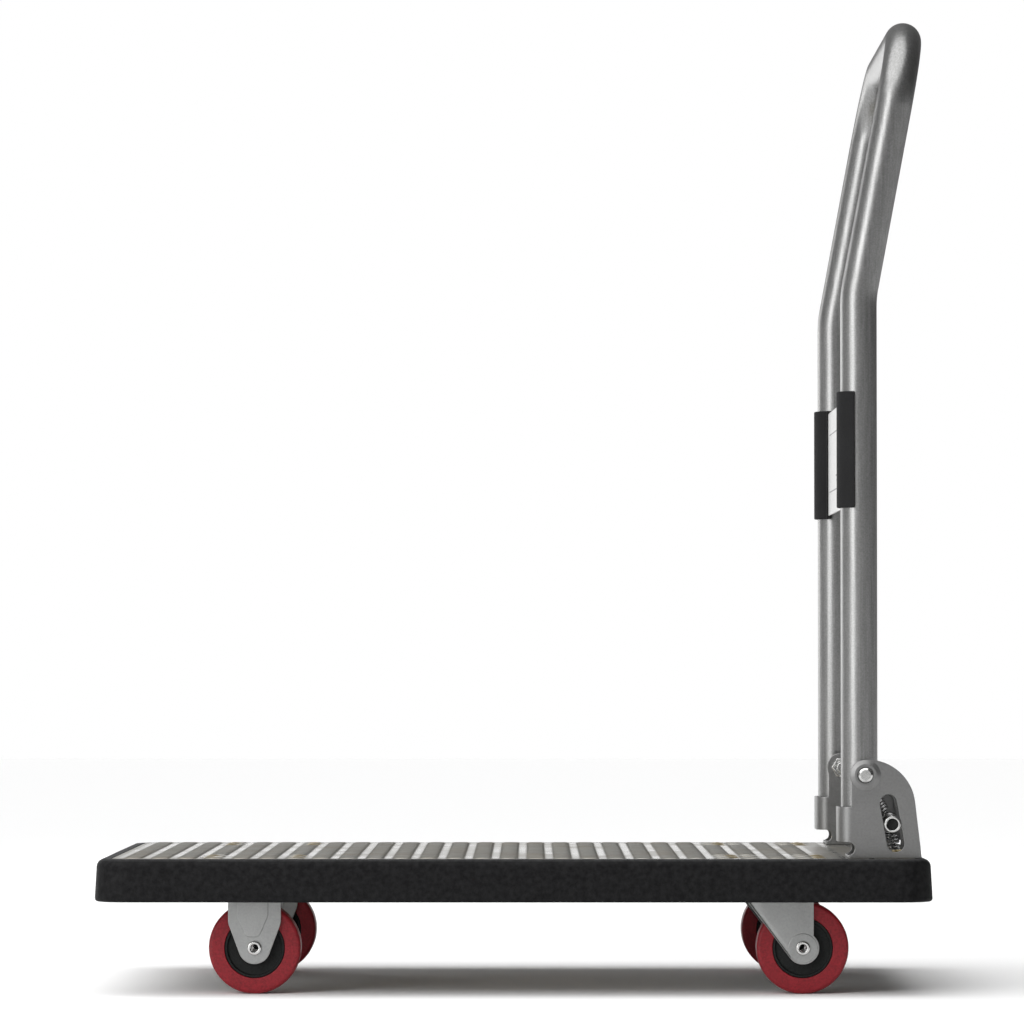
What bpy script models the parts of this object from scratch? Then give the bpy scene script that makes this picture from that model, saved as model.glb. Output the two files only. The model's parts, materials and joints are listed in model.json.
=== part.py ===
"""Folding platform cart: a steel deck inside a rubber bumper, on two rigid and two swivel casters, with a
tube handle that folds down over the deck once the sprung release bar behind its legs is pressed.

Metres, +Z up, +X towards the handle, +Y to the right of a person pushing it. The origin is on the floor
under the middle of the deck. Moving pieces hang from an empty on their joint's axis."""

from math import acos, atan2, cos, pi, radians, sin, sqrt, tan

import bmesh
import bpy
from mathutils import Vector

# Overall sizes
DECK_LENGTH = 0.725
DECK_WIDTH = 0.475
HANDLE_HEIGHT = 0.852

# Fits
GAP = 0.0003  # between pieces that touch
SHAFT_GAP = 0.0003  # round a shaft in its hole
SLIDE_GAP = 0.0004  # each side of the release bar in its slots
LEG_SIDE_GAP = 0.0006  # between a handle leg and the bracket round it
SWEEP_GAP = 0.0015  # between the release bar and the leg that swings past it

# Wheels
WHEEL_DIAMETER = 0.080
WHEEL_WIDTH = 0.030
TYRE_DEPTH = 0.0137
TYRE_SHOULDER = 0.004
HUB_RADIUS = 0.0140
WEB_WIDTH = 0.018
RIM_STEP = 0.0010  # by which the rim is narrower than the tyre, on each side
RIM_DEPTH = 0.0050
BUSH_WALL = 0.0030
AXLE_DIAMETER = 0.0100
AXLE_BORE = 0.0064
AXLE_HEAD_RADIUS = 0.0062
AXLE_HEAD_HEIGHT = 0.0020

# Casters
FORK_SHEET = 0.0025
FORK_SIDE_GAP = 0.0020  # between a wheel and each cheek
CROWN_GAP = 0.0106  # above the tyre
RACE_HEIGHT = 0.0060
RACE_INNER_RADIUS = 0.0140
RACE_OUTER_RADIUS = 0.0240
KINGPIN_DIAMETER = 0.0120
KINGPIN_HEAD_RADIUS = 0.0095
KINGPIN_HEAD_HEIGHT = 0.0035
CASTER_PLATE_LENGTH = 0.095
CASTER_PLATE_WIDTH = 0.067
CASTER_PLATE_CORNER = 0.006
CASTER_BOLTS_LENGTHWISE = 0.075
CASTER_BOLTS_CROSSWISE = 0.045
CASTER_BOLT_HOLE = 0.0085
CASTER_SIDE_INSET = 0.0655  # from the deck's side to the middle of a caster
FRONT_AXLE_INSET = 0.1375  # from the deck's front end
REAR_KINGPIN_INSET = 0.1355  # from the deck's rear end
TRAIL = 0.024
RIGID_CHEEK_WIDTH = 0.046
RIGID_CHEEK_SHOULDER = 0.020  # height above the axle where a rigid cheek starts to narrow
RIGID_CHEEK_END = 0.0140
SWIVEL_CHEEK_FRONT = 0.030  # from the kingpin forwards, at the crown
SWIVEL_CHEEK_END = 0.0144
SWIVEL_CHEEK_BACK = 0.0095  # from the axle back to the cheek's rear edge
CROWN_RADIUS = 0.026

# Deck
CHANNEL_DEPTH = 0.014
CHANNEL_SHEET = 0.002
CHANNEL_FLANGE = 0.012
CHANNEL_MARGIN = 0.004  # by which a channel is wider than the caster plate on it
DECK_SHEET = 0.0015
SKIRT_DEPTH = 0.030
DECK_EDGE = 0.0010
FIELD_HEIGHT = 0.0008
FIELD_MARGIN = 0.006
FIELD_CORNER = 0.008
FIELD_TO_BRACKET = 0.020

# Bumper
BUMPER_HEIGHT = 0.037
BUMPER_LIP = 0.012
BUMPER_FLARE = 0.002
BUMPER_CORNER = 0.030
BUMPER_TOP_ROUND = 0.007
BUMPER_BOTTOM_ROUND = 0.003
BUMPER_LEDGE = 0.004  # how far the bumper reaches in under the skirt

# Handle
TUBE_DIAMETER = 0.0318
TUBE_WALL = 0.0015
LEG_TO_DECK_SIDE = 0.046
LEG_TO_DECK_END = 0.0625
KINK_BELOW_TOP = 0.245
KINK_ANGLE = radians(10.6)
KINK_RADIUS = 0.100
TOP_CORNER_RADIUS = 0.065
PLUG_HEAD = 0.002
PLUG_DEPTH = 0.015

# Pivot
PIVOT_HEIGHT = 0.072  # above the deck
PIVOT_BEHIND_LEG = 0.0044
PIVOT_BOLT_DIAMETER = 0.0100
PIVOT_HEAD_RADIUS = 0.0068
PIVOT_HEAD_HEIGHT = 0.0030
PIVOT_THREAD = 0.0110
PIVOT_NUT_HEIGHT = 0.008
PIVOT_NUT_FLATS = 0.017
SPACER_WALL = 0.002

# Brackets
BRACKET_SHEET = 0.0025
EAR_RADIUS = 0.0135
BOSS_TOP_RADIUS = 0.0090
BOSS_HEIGHT = 0.0020
BRACKET_FRONT = 0.0077  # from the leg's middle forwards to the side plates' front edge
SHOULDER_BELOW_PIVOT = 0.028
SHOULDER_FORWARD_OF_BAR = 0.0215
BRACKET_BEHIND_BAR = 0.0255
WRAP_LOW = 0.0140
WRAP_HIGH = 0.0445
RELIEF_RADIUS = 0.0055
BASE_BOLT_DIAMETER = 0.006
BASE_BOLT_HEAD = 0.0040
BASE_BOLT_FLATS = 0.010
BASE_NUT_HEIGHT = 0.005
BASE_BOLT_BEHIND_LEG = (0.002, 0.034)

# Release bar
BAR_DIAMETER = 0.0140
BAR_WALL = 0.0020
BAR_BEHIND_TUBE = 0.0116  # from the leg's rear surface to the bar's middle
BAR_HEIGHT = 0.0295  # above the deck
BAR_PROUD = 0.0030
SLIDE_TILT = radians(10.2)
SLOT_ABOVE = 0.0188
SLOT_BELOW = 0.0168
CLIP_WALL = 0.0025
CLIP_THICKNESS = 0.0012

# Springs
SPRING_DIAMETER = 0.0105
SPRING_WIRE = 0.0016
SPRING_SIDE_GAP = 0.0015
UPPER_SPRING_TURNS = 6
LOWER_SPRING_TURNS = 4.5
HOOK_OPENING = radians(60)
SPRING_STEPS = 8  # points in each turn

# Name plate and its pads
PAD_THICKNESS = 0.003
PAD_GAP = 0.0003
PAD_LENGTH = 0.101
PAD_BELOW_KINK = 0.084
PAD_HALF_ANGLE = radians(74)
PAD_BLOCK_LENGTH = 0.0040
PAD_BLOCK_THICKNESS = 0.0044
PLATE_THICKNESS = 0.0012
PLATE_BEFORE_LEG = 0.0064
PLATE_END_MARGIN = 0.003
PLATE_CORNER = 0.003
GROOVE_DEPTH = 0.0032

# Sides of the round pieces
TYRE_ROUND = 32
MEDIUM_ROUND = 24
SMALL_ROUND = 16
PIN_ROUND = 12
OPEN_HOLE_ROUND = 8
MERGE = 1e-6  # vertices this close are one

# Heights and places that follow from the sizes
TYRE_RADIUS = WHEEL_DIAMETER / 2
AXLE_Z = TYRE_RADIUS
CORE_RADIUS = TYRE_RADIUS - TYRE_DEPTH - GAP
CROWN_LOW = WHEEL_DIAMETER + CROWN_GAP
CROWN_HIGH = CROWN_LOW + FORK_SHEET
PLATE_LOW = CROWN_HIGH + RACE_HEIGHT + 2 * GAP
PLATE_HIGH = PLATE_LOW + FORK_SHEET
CHANNEL_LOW = PLATE_HIGH + GAP
CHANNEL_HIGH = CHANNEL_LOW + CHANNEL_DEPTH
DECK_UNDERSIDE = CHANNEL_HIGH + GAP
DECK_TOP = DECK_UNDERSIDE + DECK_SHEET
BUMPER_LOW = DECK_TOP - BUMPER_HEIGHT
SKIRT_LOW = DECK_TOP - SKIRT_DEPTH
SHEET_INSET = BUMPER_FLARE + BUMPER_LIP + GAP  # from the bumper's outside to the deck sheet
CASTER_Y = DECK_WIDTH / 2 - CASTER_SIDE_INSET
FRONT_AXLE_X = FRONT_AXLE_INSET - DECK_LENGTH / 2
KINGPIN_X = DECK_LENGTH / 2 - REAR_KINGPIN_INSET
REAR_AXLE_X = KINGPIN_X + TRAIL
CHEEK_INNER = WHEEL_WIDTH / 2 + FORK_SIDE_GAP
CHEEK_OUTER = CHEEK_INNER + FORK_SHEET

TUBE_RADIUS = TUBE_DIAMETER / 2
LEG_X = DECK_LENGTH / 2 - LEG_TO_DECK_END
LEG_Y = DECK_WIDTH / 2 - LEG_TO_DECK_SIDE
TUBE_TOP_Z = HANDLE_HEIGHT - TUBE_RADIUS
KINK_Z = HANDLE_HEIGHT - KINK_BELOW_TOP
PIVOT_X = LEG_X + PIVOT_BEHIND_LEG
PIVOT_Z = DECK_TOP + PIVOT_HEIGHT
BAR_RADIUS = BAR_DIAMETER / 2
BAR_X = LEG_X + TUBE_RADIUS + BAR_BEHIND_TUBE
BAR_Z = DECK_TOP + BAR_HEIGHT
BAR_TO_PIVOT = sqrt((BAR_X - PIVOT_X) ** 2 + (PIVOT_Z - BAR_Z) ** 2)
LEG_SWEEP = BAR_TO_PIVOT - BAR_RADIUS - SWEEP_GAP
LEG_BOTTOM = PIVOT_Z - sqrt(LEG_SWEEP**2 - (TUBE_RADIUS + PIVOT_BEHIND_LEG) ** 2)
BRACKET_BASE = DECK_TOP + GAP
SPRING_BAY = SPRING_DIAMETER + 2 * SPRING_SIDE_GAP
OUTER_FACE = LEG_Y + TUBE_RADIUS + LEG_SIDE_GAP + BRACKET_SHEET  # the bracket's outer face, from the middle
INNER_FACE = LEG_Y - TUBE_RADIUS - SPRING_BAY - BRACKET_SHEET  # its face towards the middle of the cart
SPRING_Y = LEG_Y - TUBE_RADIUS - SPRING_BAY / 2
SPRING_RADIUS = (SPRING_DIAMETER - SPRING_WIRE) / 2
PAD_RADIUS = TUBE_RADIUS + PAD_GAP + PAD_THICKNESS
PAD_HIGH = KINK_Z - PAD_BELOW_KINK
PAD_LOW = PAD_HIGH - PAD_LENGTH
PLATE_X = LEG_X - PLATE_BEFORE_LEG
BLOCK_OUTER = LEG_Y - sqrt(PAD_RADIUS**2 - PLATE_BEFORE_LEG**2)  # where the pad's side meets the plate
BLOCK_INNER = BLOCK_OUTER - PAD_BLOCK_LENGTH

SIDES = {"left": -1, "right": 1}
PLANES = {"X": (1, 2, 0), "Y": (0, 2, 1), "Z": (0, 1, 2)}  # where an outline's two values and depth go

FINISHES = {  # base colour, metallic, roughness
    "deck_steel": ((0.46, 0.45, 0.42), 1.0, 0.30),
    "bumper_rubber": ((0.020, 0.020, 0.021), 0.0, 0.75),
    "bracket_steel": ((0.24, 0.24, 0.24), 0.8, 0.45),
    "caster_zinc": ((0.33, 0.33, 0.33), 0.8, 0.42),
    "tube_steel": ((0.40, 0.40, 0.40), 1.0, 0.33),
    "bright_steel": ((0.55, 0.55, 0.55), 1.0, 0.22),
    "spring_steel": ((0.35, 0.35, 0.36), 1.0, 0.30),
    "red_urethane": ((0.24, 0.013, 0.018), 0.0, 0.50),
    "core_plastic": ((0.012, 0.014, 0.013), 0.0, 0.60),
    "bush_plastic": ((0.55, 0.55, 0.52), 0.0, 0.50),
    "pad_rubber": ((0.022, 0.022, 0.022), 0.0, 0.80),
    "plate_aluminium": ((0.50, 0.50, 0.50), 0.7, 0.40),
}


# ---- Making solids ----


def clear_scene():
    for obj in list(bpy.data.objects):
        bpy.data.objects.remove(obj, do_unlink=True)


def finish_material(name):
    """The material of a finish, made when it is first asked for."""
    found = bpy.data.materials.get(name)
    if found:
        return found
    colour, metallic, roughness = FINISHES[name]
    made = bpy.data.materials.new(name)
    made.use_nodes = True
    shader = made.node_tree.nodes["Principled BSDF"]
    shader.inputs["Base Color"].default_value = (*colour, 1.0)
    shader.inputs["Metallic"].default_value = metallic
    shader.inputs["Roughness"].default_value = roughness
    made.diffuse_color = (*colour, 1.0)
    return made


def joint_empty(name, place, parent=None):
    """An empty on a joint's axis, at a place in the world."""
    empty = bpy.data.objects.new(name, None)
    empty.empty_display_size = 0.02
    empty.parent = parent
    empty.location = Vector(place) - world_place(parent)
    bpy.context.scene.collection.objects.link(empty)
    return empty


def world_place(empty):
    place = Vector()
    while empty:
        place += empty.location
        empty = empty.parent
    return place


def solid(name, bm, finish=None, joint=None):
    """The object of a closed bmesh in world coordinates. Its origin is on its joint, or at the world's."""
    bmesh.ops.remove_doubles(bm, verts=bm.verts, dist=MERGE)
    bmesh.ops.recalc_face_normals(bm, faces=bm.faces)
    bmesh.ops.translate(bm, verts=bm.verts, vec=-world_place(joint))
    mesh = bpy.data.meshes.new(name)
    bm.to_mesh(mesh)
    bm.free()
    mesh.shade_smooth()
    mesh.set_sharp_from_angle(angle=radians(35))
    obj = bpy.data.objects.new(name, mesh)
    obj.parent = joint
    if finish:
        mesh.materials.append(finish_material(finish))
    bpy.context.scene.collection.objects.link(obj)
    return obj


def combine(obj, operation, bm):
    """Adds a Boolean of an object with a helper solid that stays out of the model."""
    helper = solid(f"{obj.name}.{operation.lower()}", bm)
    helper.hide_render = True
    helper.display_type = "WIRE"
    boolean = obj.modifiers.new(operation.title(), "BOOLEAN")
    boolean.operation = operation
    boolean.object = helper


def prism(outline, low, high, axis="Z", bm=None):
    """Extrudes a flat outline along an axis between two levels."""
    bm = bm or bmesh.new()
    first, second, depth = PLANES[axis]
    corners = []
    for u, v in outline:
        place = [0.0, 0.0, 0.0]
        place[first], place[second], place[depth] = u, v, low
        corners.append(bm.verts.new(place))
    face = bm.faces.new(corners)
    made = bmesh.ops.extrude_face_region(bm, geom=[face], use_keep_orig=True)
    step = [0.0, 0.0, 0.0]
    step[depth] = high - low
    moved = [item for item in made["geom"] if isinstance(item, bmesh.types.BMVert)]
    bmesh.ops.translate(bm, verts=moved, vec=step)
    return bm


def turned(profile, centre, axis, sides, closed=False, bm=None):
    """Spins a profile of (radius, distance along the axis) points. A closed one leaves a bore."""
    bm = bm or bmesh.new()
    first, _, depth = PLANES[axis]
    verts = []
    for radius, along in profile:
        place = Vector(centre)
        place[first] += radius
        place[depth] += along
        verts.append(bm.verts.new(place))
    pairs = list(zip(verts, verts[1:]))
    if closed:
        pairs.append((verts[-1], verts[0]))
    edges = [bm.edges.new(pair) for pair in pairs]
    turn = Vector((0.0, 0.0, 0.0))
    turn[depth] = 1.0
    bmesh.ops.spin(bm, geom=verts + edges, cent=centre, axis=turn, angle=2 * pi, steps=sides)
    bmesh.ops.remove_doubles(bm, verts=bm.verts, dist=MERGE)
    return bm


def cylinder(centre, radius, low, high, axis, sides, bm=None):
    """A plain round bar between two distances from its centre point."""
    profile = [(0, low), (radius, low), (radius, high), (0, high)]
    return turned(profile, centre, axis, sides, bm=bm)


def ring(centre, bore, radius, low, high, axis, sides):
    """A plain round collar."""
    profile = [(bore, low), (radius, low), (radius, high), (bore, high)]
    return turned(profile, centre, axis, sides, closed=True)


def loft(rings, closed):
    """Bridges rings of points. The last joins the first, or both ends are capped."""
    bm = bmesh.new()
    loops = [[bm.verts.new(point) for point in points] for points in rings]
    count = len(loops[0])
    pairs = list(zip(loops, loops[1:]))
    if closed:
        pairs.append((loops[-1], loops[0]))
    for here, there in pairs:
        for i in range(count):
            j = (i + 1) % count
            bm.faces.new((here[i], here[j], there[j], there[i]))
    if not closed:
        bm.faces.new(loops[0])
        bm.faces.new(loops[-1])
    return bm


def arc(centre, radius, start, end, steps):
    """Points round a centre from one angle to another, both ends included."""
    angles = [start + (end - start) * i / steps for i in range(steps + 1)]
    return [(centre[0] + radius * cos(a), centre[1] + radius * sin(a)) for a in angles]


def rounded_rectangle(length, width, radius, middle=(0.0, 0.0), steps=4):
    points = []
    for turn, (sx, sy) in enumerate(((1, 1), (-1, 1), (-1, -1), (1, -1))):
        corner = (middle[0] + sx * (length / 2 - radius), middle[1] + sy * (width / 2 - radius))
        points += arc(corner, radius, turn * pi / 2, (turn + 1) * pi / 2, steps)
    return points


def hexagon(flats, middle):
    return [(middle[0] + flats / sqrt(3) * cos(k * pi / 3), middle[1] + flats / sqrt(3) * sin(k * pi / 3))
            for k in range(6)]


def tangent_angle(point, centre, radius, side):
    """The angle on a circle where a straight edge from a point touches it, on one side or the other."""
    across, up = point[0] - centre[0], point[1] - centre[1]
    return atan2(up, across) + side * acos(radius / sqrt(across**2 + up**2))


def spread(low, high):
    """Two levels in rising order, for pieces that are mirrored across the cart."""
    return min(low, high), max(low, high)


# ---- Deck and bumper ----


def plan_ring(inset, height):
    """The cart's outline, drawn in from the bumper's outside, at a height."""
    outline = rounded_rectangle(DECK_LENGTH - 2 * inset, DECK_WIDTH - 2 * inset, BUMPER_CORNER - inset)
    return [(x, y, height) for x, y in outline]


def make_bumper():
    inner = BUMPER_FLARE + BUMPER_LIP
    bottom_centre = (BUMPER_BOTTOM_ROUND, BUMPER_LOW + BUMPER_BOTTOM_ROUND)
    section = arc(bottom_centre, BUMPER_BOTTOM_ROUND, -pi / 2, -pi, 2)
    top_centre = (BUMPER_FLARE + BUMPER_TOP_ROUND, DECK_TOP - BUMPER_TOP_ROUND)
    section += arc(top_centre, BUMPER_TOP_ROUND, pi, pi / 2, 4)
    section += [(inner, DECK_TOP), (inner, SKIRT_LOW - GAP)]
    section += [(inner + BUMPER_LEDGE, SKIRT_LOW - GAP), (inner + BUMPER_LEDGE, BUMPER_LOW)]
    rings = [plan_ring(inset, height) for inset, height in section]
    solid("bumper", loft(rings, closed=True), "bumper_rubber")


def make_deck_plate():
    inside = SHEET_INSET + DECK_SHEET
    rings = [
        plan_ring(SHEET_INSET + DECK_EDGE, DECK_TOP),
        plan_ring(SHEET_INSET, DECK_TOP - DECK_EDGE),
        plan_ring(SHEET_INSET, SKIRT_LOW),
        plan_ring(inside, SKIRT_LOW),
        plan_ring(inside, DECK_UNDERSIDE),
    ]
    deck = solid("deck_plate", loft(rings, closed=False), "deck_steel")
    field_front = -DECK_LENGTH / 2 + SHEET_INSET + FIELD_MARGIN
    field_back = LEG_X - TUBE_RADIUS - FIELD_TO_BRACKET
    field_width = DECK_WIDTH - 2 * (SHEET_INSET + FIELD_MARGIN)
    field = rounded_rectangle(field_back - field_front, field_width, FIELD_CORNER,
                              ((field_front + field_back) / 2, 0.0), steps=3)
    combine(deck, "UNION", prism(field, DECK_TOP - DECK_SHEET / 2, DECK_TOP + FIELD_HEIGHT))
    low, high = DECK_UNDERSIDE - GAP, DECK_TOP + 2 * FIELD_HEIGHT
    holes = bmesh.new()
    for x, y in caster_bolts(FRONT_AXLE_X) + caster_bolts(KINGPIN_X):
        cylinder((x, y, 0), CASTER_BOLT_HOLE / 2, low, high, "Z", OPEN_HOLE_ROUND, bm=holes)
    for x, y in base_bolts(-1) + base_bolts(1):
        cylinder((x, y, 0), BASE_BOLT_DIAMETER / 2 + SHAFT_GAP, low, high, "Z", PIN_ROUND, bm=holes)
    combine(deck, "DIFFERENCE", holes)


def caster_bolts(x, sides=(-1, 1)):
    """The places of the bolts through the casters' plates, four to a caster."""
    return [(x + u * CASTER_BOLTS_LENGTHWISE / 2, side * CASTER_Y + v * CASTER_BOLTS_CROSSWISE / 2)
            for side in sides for u in (-1, 1) for v in (-1, 1)]


def make_cross_channel(name, x):
    """A hat section under the deck sheet, open towards it, with a row of casters bolted to its web."""
    half = (CASTER_PLATE_LENGTH + CHANNEL_MARGIN) / 2
    low, high, wall = CHANNEL_LOW, CHANNEL_HIGH, CHANNEL_SHEET
    right = [(half, low), (half, high - wall), (half + CHANNEL_FLANGE, high - wall),
             (half + CHANNEL_FLANGE, high), (half - wall, high), (half - wall, low + wall)]
    outline = [(x + u, z) for u, z in right] + [(x - u, z) for u, z in reversed(right)]
    end = DECK_WIDTH / 2 - SHEET_INSET - DECK_SHEET - GAP
    channel = solid(name, prism(outline, -end, end, "Y"), "bracket_steel")
    holes = bmesh.new()
    for bolt_x, bolt_y in caster_bolts(x):
        cylinder((bolt_x, bolt_y, 0), CASTER_BOLT_HOLE / 2, low - GAP, low + 2 * wall, "Z",
                 OPEN_HOLE_ROUND, bm=holes)
    combine(channel, "DIFFERENCE", holes)


# ---- Casters ----


def make_wheel(name, x, y, joint):
    """Urethane tyre, moulded core and the bush it turns on, round the axle's line."""
    centre, half = (x, y, AXLE_Z), WHEEL_WIDTH / 2
    inner, outer = TYRE_RADIUS - TYRE_DEPTH, TYRE_RADIUS
    crown = TYRE_SHOULDER / 4
    tread = [(inner, -half), (outer - TYRE_SHOULDER, -half), (outer - crown, TYRE_SHOULDER - half),
             (outer, half * -0.4), (outer, half * 0.4), (outer - crown, half - TYRE_SHOULDER),
             (outer - TYRE_SHOULDER, half), (inner, half)]
    solid(f"{name}_tyre", turned(tread, centre, "Y", TYRE_ROUND, closed=True), "red_urethane", joint)
    bore = AXLE_DIAMETER / 2 + SHAFT_GAP + BUSH_WALL + GAP
    web, rim, face = WEB_WIDTH / 2, CORE_RADIUS - RIM_DEPTH, half - RIM_STEP
    side = [(bore, half), (HUB_RADIUS, half), (HUB_RADIUS, web), (rim, web), (rim, face), (CORE_RADIUS, face)]
    core = [(radius, -along) for radius, along in side] + side[::-1]
    solid(f"{name}_wheel_core", turned(core, centre, "Y", MEDIUM_ROUND, closed=True), "core_plastic", joint)
    end = CHEEK_INNER - GAP
    bush = ring(centre, bore - GAP - BUSH_WALL, bore - GAP, -end, end, "Y", SMALL_ROUND)
    solid(f"{name}_bush", bush, "bush_plastic", joint)


def make_axle(name, x, y, joint):
    """A tubular rivet, headed outside both cheeks."""
    shank, bore = AXLE_DIAMETER / 2, AXLE_BORE / 2
    face = CHEEK_OUTER + GAP
    end = face + AXLE_HEAD_HEIGHT
    rim = AXLE_HEAD_RADIUS - AXLE_HEAD_HEIGHT / 2
    side = [(shank, face), (AXLE_HEAD_RADIUS, face), (rim, end), (bore, end)]
    profile = [(radius, -along) for radius, along in side[::-1]] + side
    solid(name, turned(profile, (x, y, AXLE_Z), "Y", PIN_ROUND, closed=True), "bright_steel", joint)


def add_cheeks(fork, outline, x, y):
    """Joins two cheeks to a fork, and drills both for the axle."""
    for side in (-1, 1):
        low, high = spread(y + side * CHEEK_INNER, y + side * CHEEK_OUTER)
        combine(fork, "UNION", prism(outline, low, high, "Y"))
    reach = CHEEK_OUTER + GAP
    hole = cylinder((x, y, AXLE_Z), AXLE_DIAMETER / 2 + SHAFT_GAP, -reach, reach, "Y", SMALL_ROUND)
    combine(fork, "DIFFERENCE", hole)


def plate_outline(x, y):
    return rounded_rectangle(CASTER_PLATE_LENGTH, CASTER_PLATE_WIDTH, CASTER_PLATE_CORNER, (x, y), steps=2)


def drill_plate(plate, x, side):
    holes = bmesh.new()
    for bolt_x, bolt_y in caster_bolts(x, (side,)):
        cylinder((bolt_x, bolt_y, 0), CASTER_BOLT_HOLE / 2, PLATE_LOW - GAP, PLATE_HIGH + GAP, "Z",
                 OPEN_HOLE_ROUND, bm=holes)
    combine(plate, "DIFFERENCE", holes)


def make_rigid_fork(name, side):
    """A pressed plate whose two cheeks run straight down, then narrow to a round end under the axle."""
    x, y = FRONT_AXLE_X, side * CASTER_Y
    fork = solid(name, prism(plate_outline(x, y), PLATE_LOW, PLATE_HIGH), "caster_zinc")
    half, shoulder = RIGID_CHEEK_WIDTH / 2, AXLE_Z + RIGID_CHEEK_SHOULDER
    touch = tangent_angle((x - half, shoulder), (x, AXLE_Z), RIGID_CHEEK_END, 1)
    top = PLATE_LOW + FORK_SHEET / 2
    outline = [(x + half, top), (x - half, top), (x - half, shoulder)]
    outline += arc((x, AXLE_Z), RIGID_CHEEK_END, touch, 3 * pi - touch, 8)
    outline += [(x + half, shoulder)]
    add_cheeks(fork, outline, x, y)
    drill_plate(fork, x, side)


def make_swivel_fork(name, side, joint):
    """A round crown on the kingpin, with cheeks that slant back to an axle behind it."""
    x, y = KINGPIN_X, side * CASTER_Y
    crown = turned([(0, CROWN_LOW), (CROWN_RADIUS, CROWN_LOW), (CROWN_RADIUS, CROWN_HIGH), (0, CROWN_HIGH)],
                   (x, y, 0), "Z", MEDIUM_ROUND)
    fork = solid(name, crown, "caster_zinc", joint)
    front = x - SWIVEL_CHEEK_FRONT
    back = REAR_AXLE_X + SWIVEL_CHEEK_BACK
    low, high = y - CHEEK_OUTER, y + CHEEK_OUTER
    bridge = [(front, low), (back, low), (back, high), (front, high)]
    combine(fork, "UNION", prism(bridge, CROWN_LOW, CROWN_HIGH))
    top = CROWN_LOW + FORK_SHEET / 2
    touch = tangent_angle((front, top), (REAR_AXLE_X, AXLE_Z), SWIVEL_CHEEK_END, 1)
    leave = 2 * pi + acos(SWIVEL_CHEEK_BACK / SWIVEL_CHEEK_END)
    outline = [(back, top), (front, top)]
    outline += arc((REAR_AXLE_X, AXLE_Z), SWIVEL_CHEEK_END, touch, leave, 8)
    add_cheeks(fork, outline, REAR_AXLE_X, y)
    hole = cylinder((x, y, 0), KINGPIN_DIAMETER / 2 + SHAFT_GAP, CROWN_LOW - GAP, CROWN_HIGH + GAP, "Z",
                    SMALL_ROUND)
    combine(fork, "DIFFERENCE", hole)


def make_swivel_head(name, side):
    """The fixed top plate, the ball race between it and the crown, and the kingpin through all three."""
    x, y = KINGPIN_X, side * CASTER_Y
    plate = solid(f"{name}_top_plate", prism(plate_outline(x, y), PLATE_LOW, PLATE_HIGH), "caster_zinc")
    drill_plate(plate, x, side)
    pin = KINGPIN_DIAMETER / 2
    hole = cylinder((x, y, 0), pin + SHAFT_GAP, PLATE_LOW - GAP, PLATE_HIGH + GAP, "Z", SMALL_ROUND)
    combine(plate, "DIFFERENCE", hole)
    race = ring((x, y, 0), RACE_INNER_RADIUS, RACE_OUTER_RADIUS, CROWN_HIGH + GAP, PLATE_LOW - GAP, "Z",
                MEDIUM_ROUND)
    solid(f"{name}_ball_race", race, "bright_steel")
    neck = CROWN_LOW - GAP
    head, low, end = KINGPIN_HEAD_RADIUS, neck - KINGPIN_HEAD_HEIGHT, PLATE_HIGH - GAP
    profile = [(0, low), (head * 0.75, low), (head, neck - KINGPIN_HEAD_HEIGHT / 2), (head, neck),
               (pin, neck), (pin, end), (0, end)]
    solid(f"{name}_kingpin", turned(profile, (x, y, 0), "Z", SMALL_ROUND), "bright_steel")


# ---- Brackets, pivots and release bar ----


def slide_point(distance):
    """A point on the release bar's path, by its distance down the slot from where the bar rests."""
    return BAR_X + distance * sin(SLIDE_TILT), BAR_Z - distance * cos(SLIDE_TILT)


def bracket_outline():
    """A side plate seen from the side: an ear round the pivot, a shoulder arc that runs smoothly into it, a
    slanted rear edge, and in front a tab that carries the wrap and a relief cut under the tab."""
    front = LEG_X - BRACKET_FRONT
    wrap = LEG_X - TUBE_RADIUS - LEG_SIDE_GAP - BRACKET_SHEET
    tab_low, tab_high = DECK_TOP + WRAP_LOW, DECK_TOP + WRAP_HIGH
    rear = BAR_X + BRACKET_BEHIND_BAR
    shoulder = (BAR_X - SHOULDER_FORWARD_OF_BAR, PIVOT_Z - SHOULDER_BELOW_PIVOT)
    ear = (PIVOT_X, PIVOT_Z)
    radius = EAR_RADIUS + sqrt((shoulder[0] - ear[0]) ** 2 + (shoulder[1] - ear[1]) ** 2)
    foot_angle = tangent_angle((rear, BRACKET_BASE), shoulder, radius, 1)
    ear_start = atan2(ear[1] - shoulder[1], ear[0] - shoulder[0])
    ear_end = 2 * pi - acos((front - ear[0]) / EAR_RADIUS)
    points = [(rear, BRACKET_BASE)]
    points += arc(shoulder, radius, foot_angle, ear_start, 6)
    points += arc(ear, EAR_RADIUS, ear_start, ear_end, 6)[1:]
    points += [(front, tab_high), (wrap, tab_high), (wrap, tab_low)]
    relief = (front - RELIEF_RADIUS / 2, tab_low - RELIEF_RADIUS)
    points += arc(relief, RELIEF_RADIUS, pi / 2, -pi / 2, 4)
    points += [(relief[0], BRACKET_BASE)]
    return points


def slot_outline():
    """The slanted slot that guides the bar, with a round end above and below."""
    radius = BAR_RADIUS + SLIDE_GAP
    top, bottom = slide_point(-SLOT_ABOVE), slide_point(SLOT_BELOW)
    return (arc(top, radius, SLIDE_TILT, SLIDE_TILT + pi, 6)
            + arc(bottom, radius, SLIDE_TILT + pi, SLIDE_TILT + 2 * pi, 6))


def base_bolts(side):
    return [(LEG_X + behind, side * LEG_Y) for behind in BASE_BOLT_BEHIND_LEG]


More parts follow.
